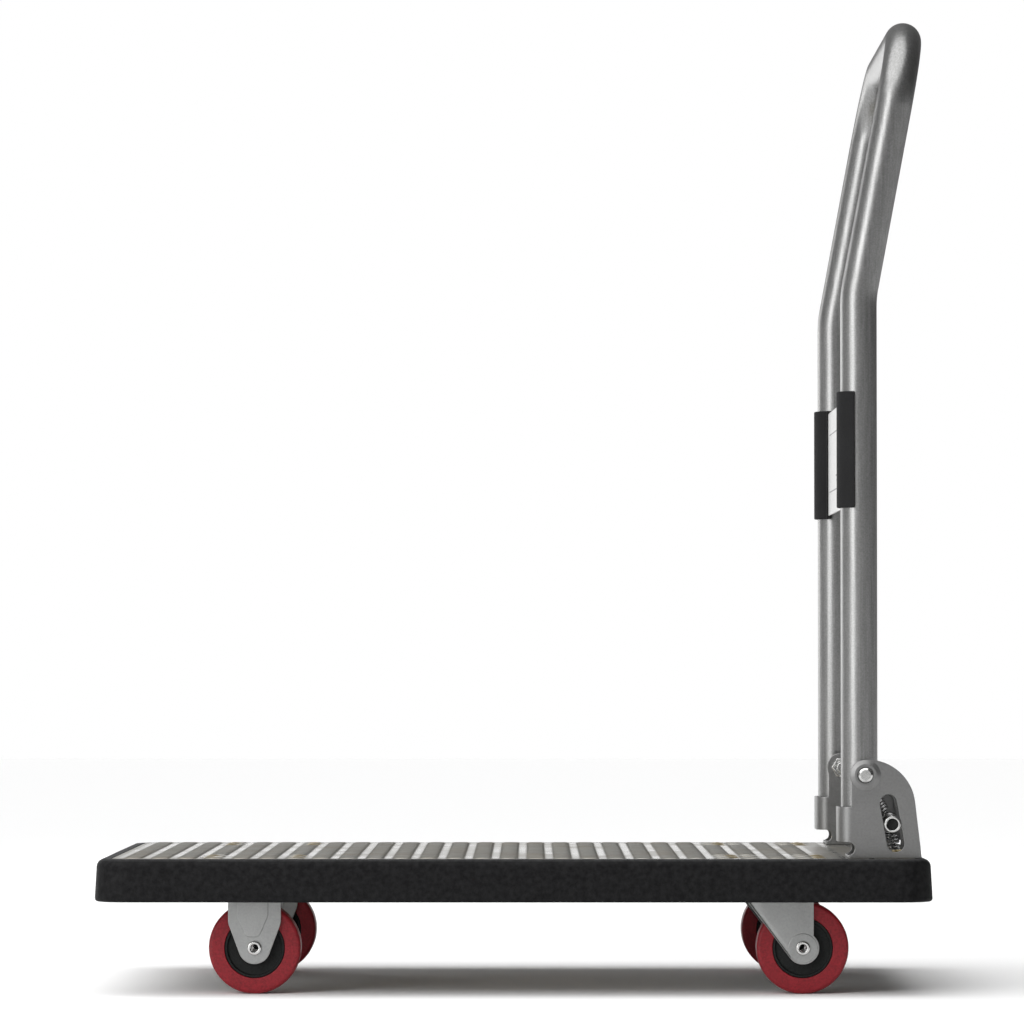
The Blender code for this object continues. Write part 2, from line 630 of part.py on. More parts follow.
def make_bracket(name, side):
    """Two slotted side plates on a base, joined in front by a wrap that goes round the leg."""
    outline = bracket_outline()
    faces = (OUTER_FACE, OUTER_FACE - BRACKET_SHEET, INNER_FACE + BRACKET_SHEET, INNER_FACE)
    outer_plate = spread(side * faces[0], side * faces[1])
    inner_plate = spread(side * faces[2], side * faces[3])
    across = spread(side * (faces[0] - BRACKET_SHEET / 2), side * (faces[3] + BRACKET_SHEET / 2))
    bracket = solid(name, prism(outline, *outer_plate, "Y"), "bracket_steel")
    combine(bracket, "UNION", prism(outline, *inner_plate, "Y"))
    front = outline[-1][0]
    rear = BAR_X + BRACKET_BEHIND_BAR - BUMPER_LIP
    base = [(front, BRACKET_BASE), (rear, BRACKET_BASE), (rear, BRACKET_BASE + BRACKET_SHEET),
            (front, BRACKET_BASE + BRACKET_SHEET)]
    combine(bracket, "UNION", prism(base, *across, "Y"))
    wrap = LEG_X - TUBE_RADIUS - LEG_SIDE_GAP - BRACKET_SHEET
    low, high = DECK_TOP + WRAP_LOW, DECK_TOP + WRAP_HIGH
    wall = [(wrap, low), (wrap + BRACKET_SHEET, low), (wrap + BRACKET_SHEET, high), (wrap, high)]
    combine(bracket, "UNION", prism(wall, *across, "Y"))
    boss = [(0, -BRACKET_SHEET / 2), (EAR_RADIUS - GAP, -BRACKET_SHEET / 2), (EAR_RADIUS - GAP, 0),
            (BOSS_TOP_RADIUS, BOSS_HEIGHT), (0, BOSS_HEIGHT)]
    boss = [(radius, side * along) for radius, along in boss]
    pivot = (PIVOT_X, side * OUTER_FACE, PIVOT_Z)
    combine(bracket, "UNION", turned(boss, pivot, "Y", SMALL_ROUND))
    reach = spread(side * (faces[3] - GAP), side * (faces[0] + BOSS_HEIGHT + GAP))
    cuts = prism(slot_outline(), *reach, "Y")
    pin = PIVOT_BOLT_DIAMETER / 2 + SHAFT_GAP
    seat = PIVOT_HEAD_RADIUS + SHAFT_GAP
    depth = faces[3] - faces[0] - GAP
    bore = [(0, depth), (pin, depth), (pin, 0), (seat, 0), (seat, 2 * BOSS_HEIGHT), (0, 2 * BOSS_HEIGHT)]
    turned([(radius, side * along) for radius, along in bore], pivot, "Y", SMALL_ROUND, bm=cuts)
    for x, y in base_bolts(side):
        cylinder((x, y, BRACKET_BASE), BASE_BOLT_DIAMETER / 2 + SHAFT_GAP, -GAP, BRACKET_SHEET + GAP, "Z",
                 PIN_ROUND, bm=cuts)
    combine(bracket, "DIFFERENCE", cuts)


def make_pivot(name, side):
    """The bolt that the leg turns on, its nut, and the spacer that keeps the springs' bay open."""
    pivot = (PIVOT_X, 0, PIVOT_Z)
    pin = PIVOT_BOLT_DIAMETER / 2
    seat, crown = OUTER_FACE + GAP, OUTER_FACE + GAP + PIVOT_HEAD_HEIGHT
    end = INNER_FACE - PIVOT_THREAD
    head = PIVOT_HEAD_RADIUS
    profile = [(0, end), (pin - GAP, end), (pin, end + GAP), (pin, seat), (head, seat),
               (head, crown - PIVOT_HEAD_HEIGHT / 3), (head * 0.7, crown), (0, crown)]
    bolt = turned([(radius, side * along) for radius, along in profile], pivot, "Y", SMALL_ROUND)
    solid(f"{name}_pivot_bolt", bolt, "bright_steel")
    nut_high = INNER_FACE - GAP
    low, high = spread(side * (nut_high - PIVOT_NUT_HEIGHT), side * nut_high)
    nut = solid(f"{name}_pivot_nut", prism(hexagon(PIVOT_NUT_FLATS, (PIVOT_X, PIVOT_Z)), low, high, "Y"),
                "bright_steel")
    combine(nut, "DIFFERENCE", cylinder(pivot, pin + SHAFT_GAP, low - GAP, high + GAP, "Y", SMALL_ROUND))
    low, high = spread(side * (INNER_FACE + BRACKET_SHEET + GAP), side * (LEG_Y - TUBE_RADIUS - GAP))
    spacer = ring(pivot, pin + SHAFT_GAP, pin + SHAFT_GAP + SPACER_WALL, low, high, "Y", SMALL_ROUND)
    solid(f"{name}_pivot_spacer", spacer, "bright_steel")


def make_base_fasteners(name, side):
    """Two hexagon bolts that hold a bracket's base to the deck, with their nuts under the sheet."""
    for place, (x, y) in zip(("front", "rear"), base_bolts(side)):
        outline = hexagon(BASE_BOLT_FLATS, (x, y))
        head = BRACKET_BASE + BRACKET_SHEET + GAP
        nut_high = DECK_UNDERSIDE - GAP
        nut_low = nut_high - BASE_NUT_HEIGHT
        end = nut_low - BASE_BOLT_DIAMETER / 3
        pin = BASE_BOLT_DIAMETER / 2
        bolt = solid(f"{name}_base_bolt_{place}", prism(outline, head, head + BASE_BOLT_HEAD), "bright_steel")
        combine(bolt, "UNION", cylinder((x, y, 0), pin, end, head + BASE_BOLT_HEAD / 2, "Z", PIN_ROUND))
        nut = solid(f"{name}_base_nut_{place}", prism(outline, nut_low, nut_high), "bright_steel")
        hole = cylinder((x, y, 0), pin + SHAFT_GAP, nut_low - GAP, nut_high + GAP, "Z", PIN_ROUND)
        combine(nut, "DIFFERENCE", hole)


def make_release_bar(joint):
    """The tube through both brackets' slots, and the clip inside each bracket that keeps it central."""
    end = OUTER_FACE + BAR_PROUD
    place = (BAR_X, 0, BAR_Z)
    bar = ring(place, BAR_RADIUS - BAR_WALL, BAR_RADIUS, -end, end, "Y", SMALL_ROUND)
    solid("release_bar", bar, "tube_steel", joint)
    for name, side in SIDES.items():
        face = INNER_FACE - GAP
        low, high = spread(side * (face - CLIP_THICKNESS), side * face)
        bore = BAR_RADIUS + GAP
        solid(f"{name}_bar_clip", ring(place, bore, bore + CLIP_WALL, low, high, "Y", SMALL_ROUND),
              "spring_steel", joint)


# ---- Springs ----


def wire(name, points):
    """A spring's wire: a round tube along points."""
    curve = bpy.data.curves.new(name, "CURVE")
    curve.dimensions = "3D"
    curve.bevel_depth = SPRING_WIRE / 2
    curve.bevel_resolution = 0
    curve.use_fill_caps = True
    spline = curve.splines.new("POLY")
    spline.points.add(len(points) - 1)
    for point, place in zip(spline.points, points):
        point.co = (*place, 1.0)
    curve.materials.append(finish_material("spring_steel"))
    bpy.context.scene.collection.objects.link(bpy.data.objects.new(name, curve))


def coil(start, end, turns, radius, ease):
    """Points of a helix between two places: the radius, times the sine and cosine of a steady turn, square
    to the axis. It swells from nothing to its full radius within a share of its length at each end."""
    start, end = Vector(start), Vector(end)
    along = end - start
    side = along.cross(Vector((0, 1, 0))).normalized()
    depth = Vector((0, 1, 0))
    points = []
    for i in range(int(turns * SPRING_STEPS) + 1):
        share = i / (turns * SPRING_STEPS)
        swell = min(1.0, share / ease, (1 - share) / ease) if ease else 1.0
        angle = 2 * pi * turns * share
        points.append(start + along * share + swell * radius * (side * cos(angle) + depth * sin(angle)))
    return points


def hook(centre, radius, towards, side):
    """Points round a pin, from the hook's open tip to where it turns into the coil at its middle."""
    towards = Vector(towards).normalized()
    across = towards.cross(Vector((0, 1, 0))) * side
    points = []
    for i in range(SPRING_STEPS + 1):
        angle = HOOK_OPENING + (2 * pi - HOOK_OPENING) * i / SPRING_STEPS
        points.append(Vector(centre) + radius * (towards * cos(angle) + across * sin(angle)))
    return points


def make_springs(name, side):
    """An extension spring that hangs the bar from the pivot's spacer, and a compression spring under it."""
    y = side * SPRING_Y
    bar, pivot = Vector((BAR_X, y, BAR_Z)), Vector((PIVOT_X, y, PIVOT_Z))
    towards = (pivot - bar).normalized()
    wire_radius = SPRING_WIRE / 2
    bar_loop = BAR_RADIUS + GAP + wire_radius
    pivot_loop = PIVOT_BOLT_DIAMETER / 2 + SHAFT_GAP + SPACER_WALL + GAP + wire_radius
    lead = 2 * SPRING_WIRE
    points = hook(bar, bar_loop, towards, 1)
    points += coil(bar + towards * (bar_loop + lead / 2), pivot - towards * (pivot_loop + lead / 2),
                   UPPER_SPRING_TURNS, SPRING_RADIUS, 1 / UPPER_SPRING_TURNS)
    points += hook(pivot, pivot_loop, -towards, 1)[::-1]
    wire(f"{name}_upper_spring", points)
    top = slide_point(bar_loop + GAP + SPRING_WIRE)
    base = BRACKET_BASE + BRACKET_SHEET + GAP + wire_radius + SPRING_RADIUS * sin(SLIDE_TILT)
    foot = (top[0] + (top[1] - base) * tan(SLIDE_TILT), base)
    points = coil((foot[0], y, foot[1]), (top[0], y, top[1]), LOWER_SPRING_TURNS, SPRING_RADIUS, 0)
    wire(f"{name}_lower_spring", points)


# ---- Handle ----


def filleted_path(corners, radii, steps):
    """Points along straight runs whose corners are rounded by arcs of the given radii."""
    corners = [Vector(corner) for corner in corners]
    path = [corners[0]]
    for before, corner, after, radius, count in zip(corners, corners[1:], corners[2:], radii, steps):
        back, ahead = (before - corner).normalized(), (after - corner).normalized()
        half = back.angle(ahead) / 2
        centre = corner + (back + ahead).normalized() * radius / sin(half)
        first = corner + back * radius / tan(half) - centre
        last = corner + ahead * radius / tan(half) - centre
        path += [centre + first.slerp(last, i / count) * radius / first.slerp(last, i / count).length
                 for i in range(count + 1)]
    return path + [corners[-1]]


def tube(path, radius, bore, sides):
    """A hollow tube along a path: rings square to it, out along the outside and back through the bore."""
    rings = []
    across = Vector((1, 0, 0))
    for i, place in enumerate(path):
        ahead = (path[min(i + 1, len(path) - 1)] - path[max(i - 1, 0)]).normalized()
        across = (across - ahead * across.dot(ahead)).normalized()
        rings.append((place, across.copy(), ahead.cross(across)))

    def circle(place, u, v, size):
        turns = [2 * pi * k / sides for k in range(sides)]
        return [place + size * (u * cos(turn) + v * sin(turn)) for turn in turns]

    outside = [circle(*item, radius) for item in rings]
    inside = [circle(*item, bore) for item in reversed(rings)]
    return loft(outside + inside, closed=True)


def make_handle(joint):
    """One bent tube: two upright legs that lean back above a kink, and round into a bar across the top."""
    bottom = LEG_BOTTOM + PLUG_HEAD + GAP
    top_x = LEG_X + (TUBE_TOP_Z - KINK_Z) * tan(KINK_ANGLE)
    side = [(LEG_X, -LEG_Y, bottom), (LEG_X, -LEG_Y, KINK_Z), (top_x, -LEG_Y, TUBE_TOP_Z)]
    corners = side + [(x, -y, z) for x, y, z in reversed(side)]
    radii = (KINK_RADIUS, TOP_CORNER_RADIUS, TOP_CORNER_RADIUS, KINK_RADIUS)
    path = filleted_path(corners, radii, (2, 6, 6, 2))
    bent = tube(path, TUBE_RADIUS, TUBE_RADIUS - TUBE_WALL, SMALL_ROUND)
    handle = solid("handle_tube", bent, "tube_steel", joint)
    reach = LEG_Y + 2 * TUBE_RADIUS
    hole = PIVOT_BOLT_DIAMETER / 2 + SHAFT_GAP
    combine(handle, "DIFFERENCE", cylinder((PIVOT_X, 0, PIVOT_Z), hole, -reach, reach, "Y", SMALL_ROUND))
    for name, sign in SIDES.items():
        shank = TUBE_RADIUS - TUBE_WALL - GAP
        head = [(0, 0), (TUBE_RADIUS, 0), (TUBE_RADIUS, PLUG_HEAD)]
        profile = head + [(shank, PLUG_HEAD), (shank, PLUG_DEPTH), (0, PLUG_DEPTH)]
        plug = turned(profile, (LEG_X, sign * LEG_Y, LEG_BOTTOM), "Z", SMALL_ROUND)
        solid(f"{name}_leg_plug", plug, "core_plastic", joint)


def make_name_plate(joint):
    """A blank sheet between the legs, its ends in the grooves of the pads."""
    low, high = PAD_LOW + PLATE_END_MARGIN, PAD_HIGH - PLATE_END_MARGIN
    end = BLOCK_INNER + GROOVE_DEPTH - GAP
    outline = rounded_rectangle(2 * end, high - low, PLATE_CORNER, (0.0, (low + high) / 2), steps=3)
    half = PLATE_THICKNESS / 2
    solid("name_plate", prism(outline, PLATE_X - half, PLATE_X + half, "X"), "plate_aluminium", joint)


def around_plate(half, low, high):
    """A box's outline on the name plate's line, so far to each side of it."""
    return [(PLATE_X - half, low), (PLATE_X + half, low), (PLATE_X + half, high), (PLATE_X - half, high)]


def make_pad(name, side, joint):
    """A rubber pad clipped round the front of a leg, with a grooved block that holds the plate's end."""
    middle = (LEG_X, side * LEG_Y)
    start, end = pi - PAD_HALF_ANGLE, pi + PAD_HALF_ANGLE
    outline = arc(middle, PAD_RADIUS, start, end, 10) + arc(middle, TUBE_RADIUS + PAD_GAP, end, start, 10)
    pad = solid(f"{name}_pad", prism(outline, PAD_LOW, PAD_HIGH), "pad_rubber", joint)
    half = PAD_BLOCK_THICKNESS / 2
    buried = LEG_Y - sqrt((PAD_RADIUS - PAD_THICKNESS / 2) ** 2 - (PLATE_BEFORE_LEG - half) ** 2)
    block = around_plate(half, *spread(side * BLOCK_INNER, side * buried))
    combine(pad, "UNION", prism(block, PAD_LOW, PAD_HIGH))
    slit = around_plate(PLATE_THICKNESS / 2 + GAP,
                        *spread(side * (BLOCK_INNER - GAP), side * (BLOCK_INNER + GROOVE_DEPTH)))
    margin = PLATE_END_MARGIN - GAP
    combine(pad, "DIFFERENCE", prism(slit, PAD_LOW + margin, PAD_HIGH - margin))


# ---- The cart ----


def make_casters():
    for name, side in SIDES.items():
        y = side * CASTER_Y
        front, rear = f"front_{name}", f"rear_{name}"
        make_rigid_fork(f"{front}_fork", side)
        make_axle(f"{front}_axle", FRONT_AXLE_X, y, None)
        make_wheel(front, FRONT_AXLE_X, y, joint_empty(f"{front}_spin", (FRONT_AXLE_X, y, AXLE_Z)))
        make_swivel_head(rear, side)
        swivel = joint_empty(f"{rear}_swivel", (KINGPIN_X, y, CROWN_HIGH))
        make_swivel_fork(f"{rear}_fork", side, swivel)
        make_axle(f"{rear}_axle", REAR_AXLE_X, y, swivel)
        make_wheel(rear, REAR_AXLE_X, y, joint_empty(f"{rear}_spin", (REAR_AXLE_X, y, AXLE_Z), swivel))


def make_cart():
    clear_scene()
    make_bumper()
    make_deck_plate()
    make_cross_channel("front_cross_channel", FRONT_AXLE_X)
    make_cross_channel("rear_cross_channel", KINGPIN_X)
    make_casters()
    fold = joint_empty("handle_fold", (PIVOT_X, 0, PIVOT_Z))
    make_handle(fold)
    make_name_plate(fold)
    make_release_bar(joint_empty("release_slide", (BAR_X, 0, BAR_Z)))
    for name, side in SIDES.items():
        make_bracket(f"{name}_bracket", side)
        make_pivot(name, side)
        make_base_fasteners(name, side)
        make_springs(name, side)
        make_pad(name, side, fold)


make_cart()
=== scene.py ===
"""The looks of a folding platform cart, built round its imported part.

Each rigid piece is worked out with numpy as a surface of two parameters, in metres, in the part's own
frame: +X points to the end with the handle, +Y to the cart's right side and +Z up. Places come from the
part's boxes.
"""

import json
from math import ceil, cos, pi, radians, sin, sqrt, tan

import bmesh
import bpy
import numpy as np
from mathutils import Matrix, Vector
from mathutils.geometry import tessellate_polygon

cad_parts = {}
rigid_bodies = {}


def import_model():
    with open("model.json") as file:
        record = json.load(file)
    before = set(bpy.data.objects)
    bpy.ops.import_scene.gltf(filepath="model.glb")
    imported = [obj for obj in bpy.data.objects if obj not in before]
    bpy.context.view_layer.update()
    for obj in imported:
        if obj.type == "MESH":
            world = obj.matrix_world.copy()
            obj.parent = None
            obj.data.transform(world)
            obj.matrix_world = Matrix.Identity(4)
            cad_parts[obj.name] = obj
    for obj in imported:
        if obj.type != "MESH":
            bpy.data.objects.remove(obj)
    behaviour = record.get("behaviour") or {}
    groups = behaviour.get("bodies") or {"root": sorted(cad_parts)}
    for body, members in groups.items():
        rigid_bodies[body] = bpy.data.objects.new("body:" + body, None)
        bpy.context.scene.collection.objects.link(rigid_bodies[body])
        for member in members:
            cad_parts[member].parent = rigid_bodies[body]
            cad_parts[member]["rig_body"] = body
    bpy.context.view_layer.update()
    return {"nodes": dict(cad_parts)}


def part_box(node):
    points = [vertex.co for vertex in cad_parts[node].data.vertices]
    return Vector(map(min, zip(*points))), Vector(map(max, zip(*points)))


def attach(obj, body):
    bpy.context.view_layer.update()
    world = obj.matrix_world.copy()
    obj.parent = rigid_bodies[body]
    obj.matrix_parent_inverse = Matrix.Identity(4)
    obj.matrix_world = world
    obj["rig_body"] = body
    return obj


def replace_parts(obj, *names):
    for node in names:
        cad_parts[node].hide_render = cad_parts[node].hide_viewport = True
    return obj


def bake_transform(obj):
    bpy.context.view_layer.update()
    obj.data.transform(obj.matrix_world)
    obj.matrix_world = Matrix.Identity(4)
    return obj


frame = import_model()

# ---- Sizes of what shows, in metres ----

SEAM = 0.0003  # between pieces that lie on each other
SHEET = 0.0025  # brackets and casters
CUT_EDGE = 0.0005  # rounding of a cut sheet's edges
CASTER_EDGE = 0.0006  # and of the casters' sheets
AXLE_RADIUS = 0.0050
AXLE_HOLE = 0.0051
RIVET_END = 0.0023  # from a rivet's end in to the cheek's face

STUD_PITCH = (0.0232, 0.0140)  # along the cart and across it
STUD_SIZE = (0.0085, 0.0037)  # half of a stud's length and width
LANE_MIDDLE = -0.1084  # of one of the bare lanes between the studs
LANE_WIDTH = 0.0056
STUD_HEIGHT = 0.0009
STUD_SQUARENESS = 2.6  # 2 gives an ellipse, more a fuller end
STUD_SIDES = 16
FIELD_END = 0.0200  # from the handle's legs to the last studs
PANEL_MARGIN = 0.0060  # from the deck sheet's edge to the studded panel
DECK_SHEET = 0.0015
DECK_ROLL = 0.0012  # rounding of the deck's edge
DIMPLE_RADIUS = 0.0125
DIMPLE_DEPTH = 0.0011

LIP_WIDTH = 0.0120
LIP_ROUND = 0.0006
LIP_WAVER = 0.00035
BUMPER_FLARE = 0.0020
BUMPER_ROUND = 0.0070
BUMPER_LOW_ROUND = 0.0030
BUMPER_LEDGE = 0.0040
BUMPER_CORNER = 0.0300
SKIRT_HEIGHT = 0.0300

BOLT_PATTERN = (0.0750, 0.0450)
CARRIAGE_HEAD = (0.0086, 0.0024)  # radius and height
CARRIAGE_SHANK = 0.0040
CARRIAGE_NUT = (0.0130, 0.0045)  # across flats and height

KINK_HEIGHT = 0.6067
HANDLE_LEAN = radians(10.6)
KINK_RADIUS = 0.1000
TOP_CORNER = 0.0650
TUBE_SIDES = 48

EAR_RADIUS = 0.0135
BOSS_TOP = 0.0090
BOSS_HEIGHT = 0.0020
BOSS_BORE = 0.0071
SHOULDER = (-0.0215, -0.0280)  # its centre, behind the bar's and below the pivot's
WRAP_SPAN = (0.0140, 0.0445)  # above the deck
WRAP_START = 0.0077  # ahead of the leg's middle
RELIEF_RADIUS = 0.0055
SLIDE_TILT = radians(10.2)
SLOT_REACH = (0.0188, 0.0168)  # above the bar and below it
SLOT_PLAY = 0.0004

WIRE = 0.0008  # a spring's wire, by its radius
COIL_RADIUS = 0.0052
UPPER_TURNS = 11
LOWER_TURNS = 5

# ---- Surfaces ----


def grid_quads(rows, columns, close_rows=False, close_columns=False):
    """Quads between neighbours on a grid. A closed direction joins its last line to its first."""
    row, column = np.meshgrid(np.arange(rows if close_rows else rows - 1),
                              np.arange(columns if close_columns else columns - 1), indexing="ij")
    down, right = (row + 1) % rows, (column + 1) % columns
    corners = (row * columns + column, row * columns + right, down * columns + right, down * columns + column)
    return np.stack(corners, axis=-1).reshape(-1, 4).tolist()


def unit(vectors):
    return vectors / np.linalg.norm(vectors, axis=-1, keepdims=True)


def smooth(t):
    """0 below 0, 1 above 1, and an S-shaped rise between them."""
    t = np.clip(t, 0.0, 1.0)
    return t * t * (3.0 - 2.0 * t)


def filleted(corners, closed=True, step=radians(12)):
    """A path through corners, each a place and a radius: a corner gives way to the arc that touches both its
    edges, centre + spoke cos t + radius * heading sin t, drawn in equal turns no larger than step."""
    points = []
    for i, (*corner, radius) in enumerate(corners):
        corner = np.array(corner, float)
        if radius <= 0 or (not closed and i in (0, len(corners) - 1)):
            points.append(corner[None])
            continue
        back = unit(np.array(corners[i - 1][:-1], float) - corner)
        ahead = unit(np.array(corners[(i + 1) % len(corners)][:-1], float) - corner)
        half = np.arccos(np.clip(back @ ahead, -1.0, 1.0)) / 2
        centre = corner + unit(back + ahead) * radius / sin(half)
        spoke = corner + back * radius / tan(half) - centre
        turn = pi - 2 * half
        angle = np.linspace(0.0, turn, max(2, ceil(turn / step)) + 1)[:, None]
        points.append(centre + spoke * np.cos(angle) - back * radius * np.sin(angle))
    return np.concatenate(points)


def arc(centre, radius, start, end, count):
    """Points on a circle from one angle to another."""
    angle = np.linspace(start, end, count)
    return np.stack((centre[0] + radius * np.cos(angle), centre[1] + radius * np.sin(angle)), axis=-1)


def ring(centre, radius, count=24):
    """A whole circle's points."""
    return arc(centre, radius, 0, 2 * pi * (count - 1) / count, count)


def rounded(x, y, radius):
    """A rectangle between two values of x and two of y, with rounded corners."""
    (left, right), (low, high) = x, y
    return filleted([(left, low, radius), (right, low, radius), (right, high, radius), (left, high, radius)])


def turned(profile, centre, axis="Z", sides=48, closed=False):
    """A profile of (radius, along) points turned round an axis through centre: along the axis lies one value,
    and round it the radius times the cosine and sine of the turn. An open profile starts and ends on the
    axis."""
    u, v, w = {"X": (1, 2, 0), "Y": (2, 0, 1), "Z": (0, 1, 2)}[axis]
    profile = np.asarray(profile, float)
    angle = np.linspace(0.0, 2 * pi, sides, endpoint=False)
    points = np.empty((len(profile), sides, 3))
    points[..., u] = profile[:, :1] * np.cos(angle)
    points[..., v] = profile[:, :1] * np.sin(angle)
    points[..., w] = profile[:, 1:]
    points += np.asarray(centre, float)
    return points.reshape(-1, 3), grid_quads(len(profile), sides, closed, True)


def swept(path, radius, sides, across=(1.0, 0.0, 0.0)):
    """A round bar along a path: at each point a circle square to the path, begun on the side nearest to
    across, and at both ends a flat cap that runs in to the path."""
    ahead = unit(np.gradient(path, axis=0))
    side = np.broadcast_to(np.asarray(across, float), path.shape)
    side = unit(side - (side * ahead).sum(-1, keepdims=True) * ahead)
    other = np.cross(ahead, side)
    angle = np.linspace(0.0, 2 * pi, sides, endpoint=False)[:, None]
    points = path[:, None] + radius * (side[:, None] * np.cos(angle) + other[:, None] * np.sin(angle))
    ends = [np.repeat(path[None, k, None], sides, axis=1) for k in (0, -1)]
    points = np.concatenate((ends[0], points, ends[1]))
    return points.reshape(-1, 3), grid_quads(len(points), sides, False, True)


def inset_loop(outline, distance):
    """A closed outline moved square to itself, towards its inside when it runs anticlockwise."""
    ahead = unit(np.roll(outline, -1, axis=0) - outline)
    left = np.stack((-ahead[:, 1], ahead[:, 0]), axis=-1)
    before = np.roll(left, 1, axis=0)
    mitre = (left + before) / np.maximum(1.0 + (left * before).sum(-1, keepdims=True), 0.4)
    return outline + mitre * distance


def anticlockwise(outline):
    x, y = outline[:, 0], outline[:, 1]
    area = (x * np.roll(y, -1) - np.roll(x, -1) * y).sum()
    return outline if area > 0 else outline[::-1]


def cut_sheet(outline, holes, low, high, edge=CUT_EDGE):
    """A flat sheet of an outline with holes, between two levels. Each loop runs round the edge on a quarter
    circle, up the side and over on another, and the faces inside the loops are filled with triangles."""
    turn = np.radians((0, 30, 60, 90))
    rim = np.stack((edge * (1 - np.sin(turn)), low + edge * (1 - np.cos(turn))), axis=-1)
    rim = np.concatenate((rim, rim[::-1] * (1, -1) + (0, low + high)))
    points, faces, ends = [], [], ([], [])
    count = 0
    for k, loop in enumerate((outline, *holes)):
        loop = anticlockwise(np.asarray(loop, float))
        sign = -1 if k else 1
        rows = [np.column_stack((inset_loop(loop, sign * inset), np.full(len(loop), z))) for inset, z in rim]
        quads = np.array(grid_quads(len(rows), len(loop), False, True)) + count
        faces += quads.tolist()
        ends[0].append((rows[0], count))
        ends[1].append((rows[-1], count + (len(rows) - 1) * len(loop)))
        points += rows
        count += len(rows) * len(loop)
    for loops in ends:
        index = np.concatenate([first + np.arange(len(loop)) for loop, first in loops])
        found = tessellate_polygon([[Vector(p) for p in loop] for loop, _ in loops])
        faces += index[np.array(found)].tolist()
    return np.concatenate(points), faces


def sliced(surface, cuts):
    """The same surface with an edge where each cut, a point and a direction square to it, crosses it, so
    that it can be bent there."""
    shape = bmesh.new()
    points, faces = surface
    corners = [shape.verts.new(p) for p in points]
    for face in faces:
        shape.faces.new([corners[i] for i in face])
    for place, square in cuts:
        parts = shape.verts[:] + shape.edges[:] + shape.faces[:]
        bmesh.ops.bisect_plane(shape, geom=parts, dist=1e-7, plane_co=place, plane_no=square)
    shape.verts.index_update()
    points = np.array([v.co[:] for v in shape.verts])
    faces = [[v.index for v in face.verts] for face in shape.faces]
    shape.free()
    return points, faces


def bent(length, depth, start, heading, runs):
    """Where a developed length, and a depth to the left of it, come to lie in a plane. The path leaves start
    at a heading and follows runs of (length, turn): straight ones turn by 0, the others are arcs."""
    place = np.array(start, float)
    flat = np.empty((len(length), 2))
    begin = 0.0
    for k, (run, turn) in enumerate(runs):
        here = np.full(len(length), True)
        if k > 0:
            here &= length > begin
        if k < len(runs) - 1:
            here &= length <= begin + run
        gone, under = length[here] - begin, depth[here]
        angle = heading + (gone * turn / run if turn else 0.0 * gone)
        left = np.stack((-np.sin(angle), np.cos(angle)), axis=-1)
        aside = np.array((-sin(heading), cos(heading)))
        if turn:
            radius = run / turn
            centre = place + radius * aside
            flat[here] = centre - (radius - under)[:, None] * left
            heading += turn
            place = centre - radius * np.array((-sin(heading), cos(heading)))
        else:
            ahead = np.array((cos(heading), sin(heading)))
            flat[here] = place + gone[:, None] * ahead + under[:, None] * aside
            place = place + run * ahead
        begin += run
    return flat


def mirrored(surface, sign):
    """The surface, or its mirror image across the cart."""
    points, faces = surface
    return points * (1.0, sign, 1.0), faces


def standing(surface, y=0.0):
    """A flat sheet drawn in (x, z), stood up so that its levels lie along Y, from a place there."""
    points, faces = surface
    return points[:, (0, 2, 1)] + (0.0, y, 0.0), faces


def added(name, data):
    """A new object in the scene."""
    made = bpy.data.objects.new(name, data)
    bpy.context.scene.collection.objects.link(made)
    return made


def merged(mesh, finish, step):
    """Merges a mesh's doubles, takes one more step with it, and gives it smooth shading and its finish."""
    shape = bmesh.new()
    shape.from_mesh(mesh)
    bmesh.ops.remove_doubles(shape, verts=shape.verts, dist=1e-6)
    step(shape)
    shape.to_mesh(mesh)
    shape.free()
    mesh.shade_smooth()
    mesh.materials.clear()
    mesh.materials.append(finish)


def piece(name, surfaces, finish, body, slot, replaces=(), weighted=True):
    """One object of closed surfaces. Doubles are merged, faces turned outwards and flat faces keep their
    shading flat. It rides on a body and stands for the part's own nodes."""
    points = np.concatenate([p for p, _ in surfaces])
    firsts = np.cumsum([0] + [len(p) for p, _ in surfaces]).tolist()
    faces = [[i + first for i in face] for (_, quads), first in zip(surfaces, firsts) for face in quads]
    mesh = bpy.data.meshes.new(name)
    mesh.from_pydata(points.tolist(), [], faces)
    merged(mesh, finish, lambda shape: bmesh.ops.recalc_face_normals(shape, faces=shape.faces))
    mesh.set_sharp_from_angle(angle=radians(40))
    made = added(name, mesh)
    if weighted:
        made.modifiers.new("flat faces", "WEIGHTED_NORMAL").keep_sharp = True
    if body:
        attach(made, body)
    if replaces:
        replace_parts(made, *replaces)
    return made


def skin(node, surfaces, finish, body, slot, **options):
    """A piece that stands for one node and takes its name."""
    return piece(f"{node}_skin", surfaces, finish, body, slot, [node], **options)


def softened(node, finish, width=0.0003):
    """A node's own shape with its doubles merged, its flat faces whole and its edges rounded."""
    source = frame["nodes"][node]
    mesh = source.data.copy()
    mesh.name = f"{node}_skin"
    merged(mesh, finish, lambda shape: bmesh.ops.dissolve_limit(
        shape, angle_limit=radians(1), verts=shape.verts, edges=shape.edges))
    made = added(f"{node}_skin", mesh)
    round_off = made.modifiers.new("rounded edges", "BEVEL")
    round_off.width = width
    round_off.segments = 2
    round_off.limit_method = "ANGLE"
    round_off.angle_limit = radians(35)
    round_off.harden_normals = True
    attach(made, source["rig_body"])
    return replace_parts(made, node)


# ---- Finishes ----


